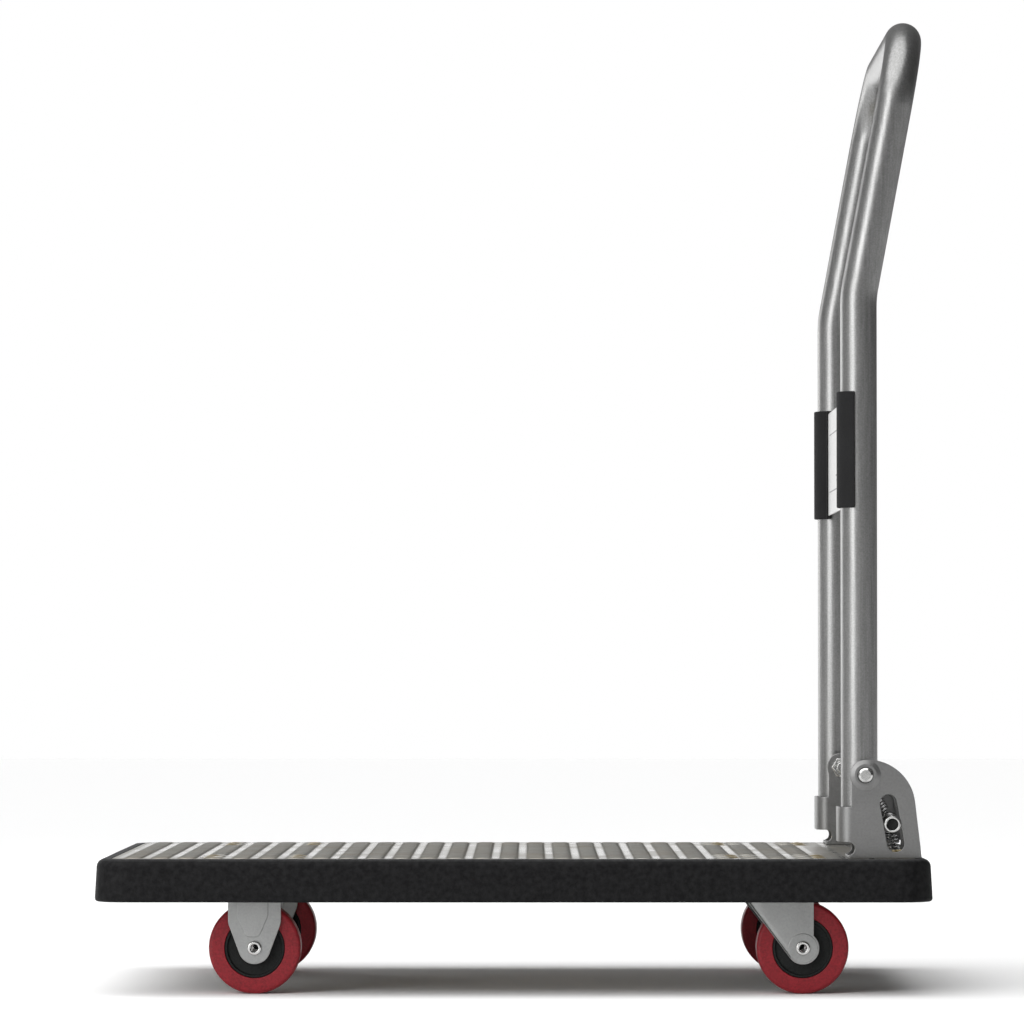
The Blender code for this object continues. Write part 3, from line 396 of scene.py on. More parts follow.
class Value:
    """A number that varies over a surface. Python's operators on it add Math nodes to its finish."""

    def __init__(self, finish, socket):
        self.finish = finish
        self.socket = socket

    def maths(self, operation, *others):
        return self.finish.node("ShaderNodeMath", self, *others, operation=operation)

    def __add__(self, other):
        return self.maths("ADD", other)

    def __mul__(self, other):
        return self.maths("MULTIPLY", other)

    def __sub__(self, other):
        return self.maths("SUBTRACT", other)

    def __rsub__(self, other):
        return self.finish.node("ShaderNodeMath", other, self, operation="SUBTRACT")

    __radd__ = __add__
    __rmul__ = __mul__

    def rise(self, start, end):
        """0 where the value is under start, 1 where it is over end, and an even rise between them."""
        return self.finish.node("ShaderNodeMapRange", self, start, end, 0.0, 1.0, clamp=True)


class Finish:
    """A material of one Principled shader. node adds any other node, and paint links what varies."""

    def __init__(self, name, colour, metallic=0.0, roughness=0.5, specular=0.5):
        self.material = bpy.data.materials.new(name)
        self.material.use_nodes = True
        self.tree = self.material.node_tree
        self.shader = self.tree.nodes["Principled BSDF"]
        for key, value in (("Base Color", (*colour, 1.0)), ("Metallic", metallic), ("Roughness", roughness),
                           ("Specular IOR Level", specular)):
            self.shader.inputs[key].default_value = value
        self.place = self.node("ShaderNodeTexCoord", out="Object")

    def node(self, kind, *values, out=0, sockets=None, **settings):
        """Adds a node with its settings, then fills its inputs in order, or those that sockets names, with
        numbers, colours or links, and gives back one of its outputs."""
        made = self.tree.nodes.new(kind)
        for setting, value in settings.items():
            setattr(made, setting, value)
        for key, value in zip(sockets or range(len(values)), values):
            if isinstance(value, Value):
                self.tree.links.new(value.socket, made.inputs[key])
            elif value is not None:
                made.inputs[key].default_value = value
        return Value(self, made.outputs[out])

    def noise(self, scale, detail=3.0, stretch=(1.0, 1.0, 1.0)):
        """Cloudy grain of a given number of waves a metre, drawn out along an axis where stretch is small."""
        where = self.node("ShaderNodeMapping", self.place, None, None, stretch)
        return self.node("ShaderNodeTexNoise", where, scale, detail, 0.55,
                         sockets=("Vector", "Scale", "Detail", "Roughness"))

    def axis(self, name):
        """The height, length or width coordinate of a point, in metres."""
        return self.node("ShaderNodeSeparateXYZ", self.place, out=name)

    def mix(self, factor, first, second):
        """A colour between two colours."""
        ends = [colour if isinstance(colour, Value) else (*colour, 1.0) for colour in (first, second)]
        return self.node("ShaderNodeMix", factor, *ends, out=2, sockets=(0, 6, 7), data_type="RGBA")

    def paint(self, **inputs):
        for name, value in inputs.items():
            self.tree.links.new(value.socket, self.shader.inputs[name.replace("_", " ").title()])

    def relief(self, height, depth):
        """Bumps of a height that varies from 0 to 1, this deep in metres."""
        bump = self.node("ShaderNodeBump", 1.0, depth, height, sockets=("Strength", "Distance", "Height"))
        self.tree.links.new(bump.socket, self.shader.inputs["Normal"])


def shade(colour, factor):
    return tuple(min(1.0, c * factor) for c in colour)


def grained(name, colour, metallic, roughness, grain, depth, spread=0.15, stretch=(1.0, 1.0, 1.0),
            specular=0.5):
    """A finish whose colour and gloss waver with fine grain and with broad clouds."""
    finish = Finish(name, colour, metallic, roughness, specular)
    fine = finish.noise(grain, 4.0, stretch)
    broad = finish.noise(grain / 25.0, 3.0)
    tone = fine * 0.55 + broad * 0.45
    mixed = finish.mix(tone.rise(0.30, 0.70), shade(colour, 1 - spread), shade(colour, 1 + spread))
    finish.paint(base_color=mixed,
                 roughness=(fine.rise(0.25, 0.75) * 2.0 - 1.0) * (roughness * 0.18) + roughness)
    finish.relief(fine, depth)
    return finish.material


def deck_steel():
    """Bright sheet with fine rolling lines along the cart. Bare lanes between the rows of studs are painted
    bright, a painted reflection, and round the studs the colour is painted darker, a painted dim reflection,
    while the sheet there is really rougher, by the distance from the nearest lane's middle. Handling leaves
    patches, and dirt and rust gather in the dishes round the bolts, by their depth."""
    finish = Finish("deck_steel", (0.52, 0.50, 0.46), 1.0, 0.30)
    lines = finish.noise(900.0, 3.0, (0.05, 1.0, 1.0))
    patches = finish.noise(14.0, 4.0)
    worn = patches.rise(0.42, 0.68)
    lane = ((finish.axis("X") - LANE_MIDDLE) * (1 / STUD_PITCH[0]) + 0.5).maths("FRACT") - 0.5
    # Painted reflection: bare lanes are painted lighter and the stud rows darker, standing in for the sheen the
    # sheet reflects; this mask also makes the sheet really rougher round the studs.
    rougher_and_painted_dim = (lane.maths("ABSOLUTE") * STUD_PITCH[0]).rise(LANE_WIDTH * 0.34, LANE_WIDTH * 0.66)
    painted_lane_reflection = finish.mix(lines.rise(0.3, 0.7), (0.265, 0.264, 0.246), (0.375, 0.372, 0.350))
    painted_dim_reflection = finish.mix(lines.rise(0.3, 0.7), (0.235, 0.228, 0.205), (0.37, 0.36, 0.33))
    colour = finish.mix(rougher_and_painted_dim, painted_lane_reflection, painted_dim_reflection)
    handled = finish.mix(worn * 0.45, colour, (0.34, 0.30, 0.24))
    sunk = (DECK_TOP - finish.axis("Z")).rise(0.0001, 0.0007)
    dirt = finish.mix(finish.noise(170.0, 3.0).rise(0.42, 0.62), (0.035, 0.030, 0.025), (0.34, 0.25, 0.13))
    finish.paint(base_color=finish.mix(sunk * 0.9, handled, dirt),
                 roughness=worn * 0.12 + lines * 0.10 + rougher_and_painted_dim * 0.10 + 0.20)
    finish.relief(lines, 0.00003)
    return finish.material


def bumper_rubber():
    """Black moulded rubber, mottled, with the top of the lip painted lighter than the side: a painted highlight
    where the rounded top catches the light.
    """
    finish = Finish("bumper_rubber", (0.0075, 0.0075, 0.0079), 0.0, 0.64, 0.10)
    grain = finish.noise(480.0, 5.0)
    mottle = finish.noise(190.0, 5.0)
    # Painted highlight: the top two millimetres are painted lighter, standing in for light falling on the
    # rounded top edge.
    painted_lit_top = (finish.axis("Z") - DECK_TOP).rise(-0.0022, -0.0002)
    side = finish.mix(mottle.rise(0.35, 0.65), (0.0036, 0.0036, 0.0040), (0.0105, 0.0105, 0.0110))
    # Lit colours for the painted highlight on the lip, not the rubber's own tone.
    lip = finish.mix(mottle.rise(0.3, 0.7), (0.022, 0.022, 0.023), (0.046, 0.046, 0.047))
    finish.paint(base_color=finish.mix(painted_lit_top, side, lip), roughness=grain * 0.2 + 0.52)
    finish.relief(grain * 0.7 + mottle * 0.3, 0.00035)
    return finish.material


def red_urethane():
    """Cast urethane: even red with fine grain, a little darker where the tread has run."""
    finish = Finish("red_urethane", (0.30, 0.014, 0.022), 0.0, 0.45, 0.28)
    grain = finish.noise(560.0, 4.0)
    clouds = finish.noise(60.0, 3.0)
    colour = finish.mix(grain.rise(0.3, 0.7), (0.155, 0.0080, 0.0125), (0.295, 0.0160, 0.0245))
    finish.paint(base_color=finish.mix(clouds.rise(0.4, 0.75) * 0.4, colour, (0.190, 0.0090, 0.0140)),
                 roughness=grain * 0.22 + 0.36)
    finish.relief(grain, 0.00008)
    return finish.material


def satin_tube():
    """Silver coating on the bent tube, with faint runs along the legs."""
    finish = Finish("tube_steel", (0.30, 0.30, 0.30), 0.95, 0.33)
    runs = finish.noise(420.0, 3.0, (1.0, 1.0, 0.035))
    grain = finish.noise(760.0, 3.0)
    tone = runs * 0.5 + grain * 0.5
    finish.paint(base_color=finish.mix(tone.rise(0.35, 0.65), (0.205, 0.205, 0.203), (0.315, 0.315, 0.312)),
                 roughness=grain * 0.14 + 0.28)
    finish.relief(grain * 0.6 + runs * 0.4, 0.00006)
    return finish.material


def yellow_zinc():
    """Zinc passivated to a patchy yellow, as on the caster bolts."""
    finish = Finish("yellow_zinc", (0.56, 0.45, 0.25), 1.0, 0.33)
    patches = finish.noise(260.0, 4.0)
    colour = finish.mix(patches.rise(0.35, 0.65), (0.47, 0.36, 0.17), (0.66, 0.56, 0.36))
    finish.paint(base_color=colour, roughness=patches * 0.2 + 0.24)
    finish.relief(patches, 0.00004)
    return finish.material


def label_sheet():
    """Light satin sheet with a printed label: a thin frame, a disc struck through by two bars, and rules
    under it."""
    finish = Finish("plate_aluminium", (0.55, 0.55, 0.55), 0.35, 0.45)
    grain = finish.noise(1500.0, 3.0, (1.0, 0.06, 1.0))
    across = finish.axis("Y").maths("ABSOLUTE")
    up = finish.axis("Z") - PLATE_MIDDLE

    def inside(half_width, half_height, middle=0.0, fuzz=0.0002):
        wide = (half_width - across).rise(-fuzz, fuzz)
        high = (half_height - (up - middle).maths("ABSOLUTE")).rise(-fuzz, fuzz)
        return wide * high

    frame_line = inside(*LABEL_HALF) - inside(LABEL_HALF[0] - LABEL_LINE, LABEL_HALF[1] - LABEL_LINE)
    from_disc = (across * across + (up - DISC_LEVEL) * (up - DISC_LEVEL)).maths("SQRT")
    disc = (DISC_RADIUS - from_disc).rise(-0.0002, 0.0002)
    bars = inside(0.030, 0.0012, DISC_LEVEL + 0.0032) + inside(0.030, 0.0012, DISC_LEVEL - 0.0032)
    rules = inside(0.044, 0.0009, DISC_LEVEL - 0.0200) + inside(0.036, 0.0006, DISC_LEVEL - 0.0245)
    ink = (frame_line + disc * (1 - bars) + rules).maths("MINIMUM", 1.0)
    sheet = finish.mix(grain.rise(0.3, 0.7), (0.46, 0.46, 0.455), (0.60, 0.60, 0.595))
    finish.paint(base_color=finish.mix(ink * 0.9, sheet, (0.045, 0.045, 0.05)),
                 metallic=(1 - ink) * 0.4, roughness=grain * 0.12 + 0.38)
    finish.relief(grain, 0.00003)
    return finish.material


deck_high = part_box("deck_plate")[1]
bumper_low, bumper_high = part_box("bumper")
plate_low, plate_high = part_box("name_plate")
DECK_TOP = bumper_high.z
PLATE_MIDDLE = (plate_low.z + plate_high.z) / 2
LABEL_HALF = (0.1500, 0.0270)
LABEL_LINE = 0.0011
DISC_LEVEL = 0.0060
DISC_RADIUS = 0.0110

DECK = deck_steel()
RUBBER = bumper_rubber()
URETHANE = red_urethane()
TUBE = satin_tube()
YELLOW = yellow_zinc()
LABEL = label_sheet()
CORE = grained("core_plastic", (0.0100, 0.0112, 0.0108), 0.0, 0.60, 420.0, 0.00035, spread=0.95,
               specular=0.20)
PAD = grained("pad_rubber", (0.0105, 0.0105, 0.0110), 0.0, 0.78, 600.0, 0.00020, spread=0.30, specular=0.18)
BUSH = grained("bush_plastic", (0.42, 0.42, 0.39), 0.0, 0.45, 800.0, 0.00004, spread=0.08)
BRACKET = grained("bracket_steel", (0.205, 0.205, 0.203), 0.85, 0.42, 560.0, 0.00009, spread=0.15)
ZINC = grained("caster_zinc", (0.33, 0.334, 0.33), 0.85, 0.47, 520.0, 0.00012, spread=0.15)
BRIGHT = grained("bright_steel", (0.58, 0.58, 0.57), 1.0, 0.20, 700.0, 0.00002, spread=0.06)
SPRING = grained("spring_steel", (0.42, 0.42, 0.42), 1.0, 0.24, 900.0, 0.00002, spread=0.08)

# ---- Places, read from the part's boxes ----


def middle(node):
    low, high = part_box(node)
    return (low + high) / 2


def half_size(node):
    low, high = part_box(node)
    return (high - low) / 2


leg = middle("right_leg_plug")
tube_radius = half_size("right_leg_plug").x
handle_low, handle_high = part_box("handle_tube")
pivot = middle("right_pivot_bolt")
bar = middle("release_bar")
bar_radius = half_size("release_bar").x
bracket_low, bracket_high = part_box("right_bracket")
SHEET_INSET = bumper_high.x - deck_high.x
SKIRT_LOW = DECK_TOP - SKIRT_HEIGHT
SIDES = {"left": -1, "right": 1}
CASTERS = [f"{end}_{side}" for end in ("front", "rear") for side in SIDES]
BOLT_OFFSETS = np.array([(u, v) for u in (-0.5, 0.5) for v in (-0.5, 0.5)]) * BOLT_PATTERN

# ---- Deck and bumper ----


def plan_stations(corner_points=13, run_points=26):
    """Places round the deck's outline, anticlockwise: on the straight runs a middle slides from one corner's
    centre to the next while the outward direction stays, and on the corners the direction turns."""
    reach = np.array((bumper_high.x, bumper_high.y)) - BUMPER_CORNER
    corners = reach * ((1, 1), (-1, 1), (-1, -1), (1, -1))
    middles, turns = [], []
    for k, corner in enumerate(corners):
        turns.append(np.linspace(k, k + 1, corner_points) * pi / 2)
        middles.append(np.broadcast_to(corner, (corner_points, 2)))
        share = np.linspace(0.0, 1.0, run_points + 2)[1:-1, None]
        middles.append(corner + share * (corners[(k + 1) % 4] - corner))
        turns.append(np.full(run_points, (k + 1) * pi / 2))
    turn = np.concatenate(turns)
    return np.concatenate(middles), np.stack((np.cos(turn), np.sin(turn)), axis=-1)


def carried(profile, inset_waver=0.0):
    """A closed profile of (inset, height) points carried round the deck: each point lies the corner's radius
    less its inset out from a station's middle."""
    middles, outward = plan_stations()
    inset = profile[:, :1] + inset_waver
    flat = middles + (BUMPER_CORNER - inset)[..., None] * outward
    height = np.broadcast_to(profile[:, 1][:, None, None], (*flat.shape[:2], 1))
    points = np.concatenate((flat, height), axis=-1)
    return points.reshape(-1, 3), grid_quads(len(profile), len(middles), True, True)


def make_bumper():
    lip = BUMPER_FLARE + LIP_WIDTH
    low, ledge = bumper_low.z, SKIRT_LOW - SEAM
    profile = filleted([(0.0, low, BUMPER_LOW_ROUND), (BUMPER_FLARE, DECK_TOP, BUMPER_ROUND),
                        (lip, DECK_TOP, LIP_ROUND), (lip, ledge, 0.0), (lip + BUMPER_LEDGE, ledge, LIP_ROUND),
                        (lip + BUMPER_LEDGE, low, 0.0008)])
    middles, outward = plan_stations()
    along = np.arctan2(middles[:, 1] + outward[:, 1] * 0.03, middles[:, 0] + outward[:, 0] * 0.03)
    waver = np.sin(along * 23) + 0.6 * np.sin(along * 61 + 1.3) + 0.4 * np.sin(along * 107 + 0.4)
    near_lip = (profile[:, 1] > DECK_TOP - 0.001) & (profile[:, 0] > lip - 0.002)
    shift = near_lip[:, None] * (LIP_WAVER * (0.5 + 0.25 * waver))
    skin("bumper", [carried(profile, -shift)], RUBBER, "deck", "bumper_rubber")


def bolt_places():
    """The caster bolts' places on the deck, four round the middle of each caster's plate."""
    nodes = [caster + ("_fork" if caster.startswith("front") else "_top_plate") for caster in CASTERS]
    return np.concatenate([BOLT_OFFSETS + middle(node)[:2] for node in nodes])


def fine_lines(reach, centres, count):
    """Grid lines evenly over a panel, and close together across each dimple."""
    close = np.linspace(-1.1, 1.1, 19) * DIMPLE_RADIUS
    lines = np.concatenate([np.linspace(-reach, reach, count)] + [c + close for c in np.unique(centres)])
    lines = np.sort(lines[np.abs(lines) <= reach])
    return lines[np.concatenate(([True], np.diff(lines) > 0.0004))]


def deck_panel():
    """The sheet's flat top, as a height over a grid: level but for a round dish at each caster bolt, whose
    depth falls off smoothly from a flat middle. Its border drops to a flat underside."""
    reach = np.array((bumper_high.x, bumper_high.y)) - SHEET_INSET - PANEL_MARGIN
    bolts = bolt_places()
    x = fine_lines(reach[0], np.round(bolts[:, 0], 5), 60)
    y = fine_lines(reach[1], np.round(bolts[:, 1], 5), 44)
    xs, ys = np.meshgrid(x, y, indexing="ij")
    away = np.hypot(xs[..., None] - bolts[:, 0], ys[..., None] - bolts[:, 1]).min(axis=-1) / DIMPLE_RADIUS
    height = DECK_TOP + 0.00012 - DIMPLE_DEPTH * smooth((1.0 - away) / 0.45)
    top = np.stack((xs, ys, height), axis=-1).reshape(-1, 3)
    index = np.arange(len(x) * len(y)).reshape(len(x), len(y))
    border = np.concatenate((index[:-1, 0], index[-1, :-1], index[:0:-1, -1], index[0, :0:-1]))
    under = top[border] * (1, 1, 0) + (0, 0, DECK_TOP - DECK_SHEET + 0.0001)
    first = len(top) + np.arange(len(border))
    sides = np.stack((border, np.roll(border, -1), np.roll(first, -1), first), axis=-1)
    faces = grid_quads(len(x), len(y)) + sides.tolist() + [first[::-1].tolist()]
    return np.concatenate((top, under)), faces


def make_deck():
    inner = SHEET_INSET + PANEL_MARGIN + 0.001
    inside = SHEET_INSET + DECK_SHEET
    edge = filleted([(inner, DECK_TOP, 0), (SHEET_INSET, DECK_TOP, DECK_ROLL),
                     (SHEET_INSET, SKIRT_LOW, 0.0004), (inside, SKIRT_LOW, 0.0004),
                     (inside, DECK_TOP - DECK_SHEET, 0.0006), (inner, DECK_TOP - DECK_SHEET, 0)])
    piece("deck_skin", [carried(edge), deck_panel()], DECK, "deck", "deck_steel", ["deck_plate"])


def make_studs():
    """Rows of low lozenges pressed up from the sheet. Each is a full ellipse drawn in over its height, and
    those that would meet a dimple are left out."""
    reach = np.array((bumper_high.x, bumper_high.y)) - SHEET_INSET - PANEL_MARGIN
    first = STUD_SIZE[0] + 0.0049 - reach[0]
    last = leg.x - tube_radius - FIELD_END - STUD_SIZE[0]
    x = np.arange(first, last, STUD_PITCH[0])
    rows = int((2 * reach[1] - 2 * STUD_SIZE[1]) / STUD_PITCH[1])
    y = (np.arange(rows + 1) - rows / 2) * STUD_PITCH[1]
    at = np.stack(np.meshgrid(x, y, indexing="ij"), axis=-1).reshape(-1, 2)
    bolts = bolt_places()
    clear = np.abs(at[:, None] - bolts) - np.array(STUD_SIZE)
    at = at[(np.hypot(*np.maximum(clear, 0.0).transpose(2, 0, 1)) > DIMPLE_RADIUS * 0.9).all(axis=1)]
    angle = np.linspace(0.0, 2 * pi, STUD_SIDES, endpoint=False)
    reach_out = (np.abs(np.cos(angle)) ** STUD_SQUARENESS + np.abs(np.sin(angle)) ** STUD_SQUARENESS)
    ellipse = np.stack((np.cos(angle), np.sin(angle)), axis=-1)
    ellipse = ellipse * (reach_out ** (-1 / STUD_SQUARENESS))[:, None]
    levels = np.array(((0.0, -0.3), (1.0, -0.3), (1.0, 0.12), (0.90, 0.62), (0.70, 0.93), (0.0, 1.0)))
    stud = np.empty((len(levels), STUD_SIDES, 3))
    stud[..., :2] = levels[:, :1, None] * ellipse * STUD_SIZE
    stud[..., 2] = levels[:, 1:] * STUD_HEIGHT + DECK_TOP
    points = np.broadcast_to(stud, (len(at), *stud.shape)).copy()
    points[..., :2] += at[:, None, None]
    one = np.array(grid_quads(len(levels), STUD_SIDES, False, True))
    faces = (one + (np.arange(len(at)) * len(levels) * STUD_SIDES)[:, None, None]).reshape(-1, 4)
    piece("deck_studs", [(points.reshape(-1, 3), faces.tolist())], DECK, "deck", "deck_steel", weighted=False)


def hexagon(centre, flats, low, high):
    """A hexagon nut or head: a cut sheet whose outline has six corners."""
    angle = np.arange(6) * pi / 3
    outline = np.array(centre) + flats / sqrt(3) * np.stack((np.cos(angle), np.sin(angle)), axis=-1)
    return cut_sheet(outline, (), low, high)


def make_caster_bolts():
    """Carriage bolts: a low dome on the dished sheet, a shank down through channel and plate, and a nut."""
    bolts, nuts = [], []
    radius, height = CARRIAGE_HEAD
    seat = DECK_TOP - DIMPLE_DEPTH + 0.0001
    plate_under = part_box("rear_right_top_plate")[0].z
    for x, y in bolt_places():
        end = plate_under - CARRIAGE_NUT[1] - 0.0010
        dome = arc((0, seat + height - radius**2 / (2 * height) - height / 2),
                   radius**2 / (2 * height) + height / 2, pi / 2, pi / 2 - 0.52, 6)
        dome = dome[dome[:, 0] < radius * 0.97]
        rest = [(radius, seat + 0.0004), (radius, seat), (CARRIAGE_SHANK, seat),
                (CARRIAGE_SHANK, end + 0.0006), (CARRIAGE_SHANK - 0.0006, end), (0, end)]
        profile = np.concatenate((dome, rest))
        bolts.append(turned(profile, (x, y, 0), "Z", 20))
        nut_top = plate_under - SEAM
        nuts.append(hexagon((x, y), CARRIAGE_NUT[0], nut_top - CARRIAGE_NUT[1], nut_top))
    piece("caster_bolts", bolts, YELLOW, "deck", "bright_steel")
    piece("caster_nuts", nuts, YELLOW, "deck", "bright_steel")


make_bumper()
make_deck()
make_studs()
make_caster_bolts()
for channel in ("front_cross_channel", "rear_cross_channel"):
    softened(channel, BRACKET, 0.0006)

# ---- Wheels and casters ----


def make_wheel(name, body):
    """Tyre, core and bush, turned round the axle's line. Gives back the line's middle and half its length."""
    centre, (_, half, outer) = middle(f"{name}_tyre"), half_size(f"{name}_tyre")
    rim = half_size(f"{name}_wheel_core").z
    inner = rim + SEAM
    side = [(outer, half, 0.0032), (inner, half, 0.0006)]
    tread = filleted([(r, -a, f) for r, a, f in side[::-1]] + side, step=radians(9))
    seam = np.array(((outer, -0.0006), (outer + 0.00012, 0.0), (outer, 0.0006)))
    cut = np.argmax((tread[:, 0] > outer - 1e-6) & (tread[:, 1] > 0))
    tread = np.concatenate((tread[:cut], seam, tread[cut:]))
    skin(f"{name}_tyre", [turned(tread, centre, "Y", 112, closed=True)], URETHANE, body, "red_urethane")
    face = half - 0.0010
    bore = half_size(f"{name}_bush").z + SEAM
    hub, web, lip = 0.0135, half - 0.0034, rim - 0.0022
    side = [(bore, half - 0.0003, 0.0004), (hub - 0.0012, half - 0.0003, 0.0008), (hub, web, 0.0010),
            (lip, web, 0.0012), (lip, face, 0.0006), (rim, face, 0.0005)]
    corners = [(r, -a, f) for r, a, f in side] + side[::-1]
    core = turned(filleted(corners), centre, "Y", 96, closed=True)
    piece(f"{name}_core_skin", [core], CORE, body, "core_plastic", [f"{name}_wheel_core"])
    end = half_size(f"{name}_bush").y
    side = [(bore - SEAM, end, 0.0004), (AXLE_RADIUS + SEAM, end, 0.0003)]
    bush = filleted([(r, -a, f) for r, a, f in side[::-1]] + side)
    skin(f"{name}_bush", [turned(bush, centre, "Y", 40, closed=True)], BUSH, body, "bush_plastic")
    return centre, half_size(f"{name}_axle").y


def make_axle(name, body, centre, half):
    """A tubular rivet, its ends rolled over outside the cheeks."""
    face, bore, head = half - 0.0021, 0.0032, 0.0062
    side = [(AXLE_RADIUS, face, 0.0), (head, face, 0.0004), (head, half, 0.0013), (bore, half, 0.0010)]
    corners = [(r, -a, f) for r, a, f in side[::-1]] + side
    rivet = turned(filleted(corners), centre, "Y", 40, closed=True)
    skin(f"{name}_axle", [rivet], BRIGHT, body, "bright_steel")


def tangent_angle(point, centre, radius, side):
    """The angle on a circle where a straight edge from a point touches it."""
    across, up = point[0] - centre[0], point[1] - centre[1]
    return np.arctan2(up, across) + side * np.arccos(radius / np.hypot(across, up))


def slotted_plate(node, low, high, *holes):
    """A caster's plate over a node's outline, with four slotted holes, each a run of the bolt's width."""
    at, half = middle(node), half_size(node)
    slots = []
    for place in BOLT_OFFSETS + at[:2]:
        ends = [arc(place + (side * 0.0012, 0), 0.0043, -side * pi / 2, pi - side * pi / 2, 9)
                for side in (1, -1)]
        slots.append(np.concatenate(ends))
    outline = rounded((at.x - half.x, at.x + half.x), (at.y - half.y, at.y + half.y), 0.006)
    return cut_sheet(outline, (*slots, *holes), low, high, CASTER_EDGE)


def make_rigid_fork(name, axle, half):
    """A slotted plate with two cheeks that narrow to the axle. Each has a shallow pressed panel above it."""
    low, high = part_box(f"{name}_fork")
    x, z, outer, end = axle.x, axle.z, half - RIVET_END, axle.z - low.z
    width, shoulder, top = 0.023, z + 0.020, high.z - SHEET
    touch = tangent_angle((x + width, shoulder), (x, z), end, -1)
    foot = arc((x, z), end, -pi - touch, touch, 25)
    cheek = np.concatenate(([(x + width, top + 0.0012), (x - width, top + 0.0012),
                             (x - width, shoulder + 0.003), (x - width + 0.0006, shoulder)], foot,
                            [(x + width - 0.0006, shoulder), (x + width, shoulder + 0.003)]))
    panel = filleted([(x + 0.0120, top, 0.002), (x - 0.0155, top, 0.002), (x - 0.0155, z + 0.028, 0.006),
                      (x - 0.0070, z + 0.0095, 0.004), (x + 0.0040, z + 0.0095, 0.005),
                      (x + 0.0120, z + 0.028, 0.006)])
    sheets = ((cheek, (ring((x, z), AXLE_HOLE),), outer - SHEET, outer, CASTER_EDGE),
              (panel, (), outer - 0.0012, outer + 0.0008, 0.0008))
    surfaces = [standing(cut_sheet(outline, holes, *sorted((side * back, side * face)), edge), axle.y)
                for side in (-1, 1) for outline, holes, back, face, edge in sheets]
    surfaces.append(slotted_plate(f"{name}_fork", high.z - SHEET, high.z))
    skin(f"{name}_fork", surfaces, ZINC, "deck", "caster_zinc")


def make_swivel_fork(name, body, axle, half, kingpin):
    """One sheet bent twice: a cheek up one side, the crown across, and a cheek down the other. Near their
    slanted front edges the cheeks draw in like a quarter of an ellipse, most where they are clear of the
    tyre. A dished crown and a low boss round each hole are added to it."""
    low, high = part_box(f"{name}_fork")
    outer = half - RIVET_END
    x, z, y, end, bend = axle.x, axle.z, axle.y, 0.0143, 0.0050
    front, back, base = kingpin.x - 0.030, x + 0.0095, z - end
    rise = high.z - bend - base
    quarter = (bend * pi / 2, pi / 2)
    runs = [(rise, 0.0), quarter, (2 * (outer - bend), 0.0), quarter, (rise, 0.0)]
    total = sum(run for run, _ in runs)
    touch = tangent_angle((front, high.z - bend), (x, z), end, 1)
    leave = 2 * pi + np.arccos((back - x) / end)
    cheek = np.concatenate(([(front, rise)], arc((x, z), end, touch, leave, 27) - (0, base), [(back, rise)]))
    outline = np.concatenate((cheek, (cheek * (1, -1) + (0, total))[::-1]))
    hole = ring((x, z - base), AXLE_HOLE)
    crown_hole = ring((kingpin.x, total / 2), 0.0064)
    surface = cut_sheet(outline, (hole, hole * (1, -1) + (0, total), crown_hole), 0.0, SHEET, CASTER_EDGE)
    turn = np.linspace(0.0, bend * pi / 2, 7)
    cuts = [((0, s, 0), (0, 1, 0)) for s in np.concatenate((rise + turn, total - rise - turn))]
    tip = np.array((x, z)) + end * np.array((cos(touch), sin(touch)))
    slant = unit(np.array((front, high.z - bend)) - tip)
    square = np.array((slant[1], -slant[0]))
    square *= np.sign(square[0])
    for d in (0.0006, 0.0015, 0.003, 0.0045, 0.006, 0.008, 0.010):
        at = tip + square * d - (0, base)
        cuts += [((*at, 0), (*square, 0)), ((at[0], total - at[1], 0), (square[0], -square[1], 0))]
    points, faces = sliced(surface, cuts)
    flat = bent(points[:, 1], points[:, 2], (outer, base), pi / 2, runs)
    shape = np.column_stack((points[:, 0], flat[:, 0], flat[:, 1]))
    away = (shape[:, (0, 2)] - tip) @ square
    near = np.clip(1.0 - away / 0.010, 0.0, 1.0)
    amount = 0.0009 + 0.0050 * smooth((shape[:, 2] - z - 0.027) / 0.018)
    amount *= 1.0 - smooth((shape[:, 2] - (high.z - bend - 0.006)) / 0.010)
    shape[:, 1] -= np.sign(shape[:, 1]) * amount * (1.0 - np.sqrt(1.0 - near**2))
    shape[:, 1] += y
    surfaces = [(shape, faces)]
    dish = filleted([(0.0064, high.z - SHEET, 0.0), (0.0250, high.z - SHEET, 0.0010),
                     (0.0258, high.z - 0.0004, 0.0006), (0.0140, high.z, 0.0010), (0.0064, high.z, 0.0)])
    surfaces.append(turned(dish, (kingpin.x, y, 0), "Z", 56, closed=True))
    low_boss = filleted([(0.0058, outer - 0.0008, 0.0), (0.0133, outer - 0.0008, 0.0),
                         (0.0128, outer + 0.0003, 0.0012), (0.0058, outer + 0.0003, 0.0003)])
    for side in (-1, 1):
        surfaces.append(turned(low_boss * (1, side), (x, y, z), "Y", 56, closed=True))
    skin(f"{name}_fork", surfaces, ZINC, body, "caster_zinc")


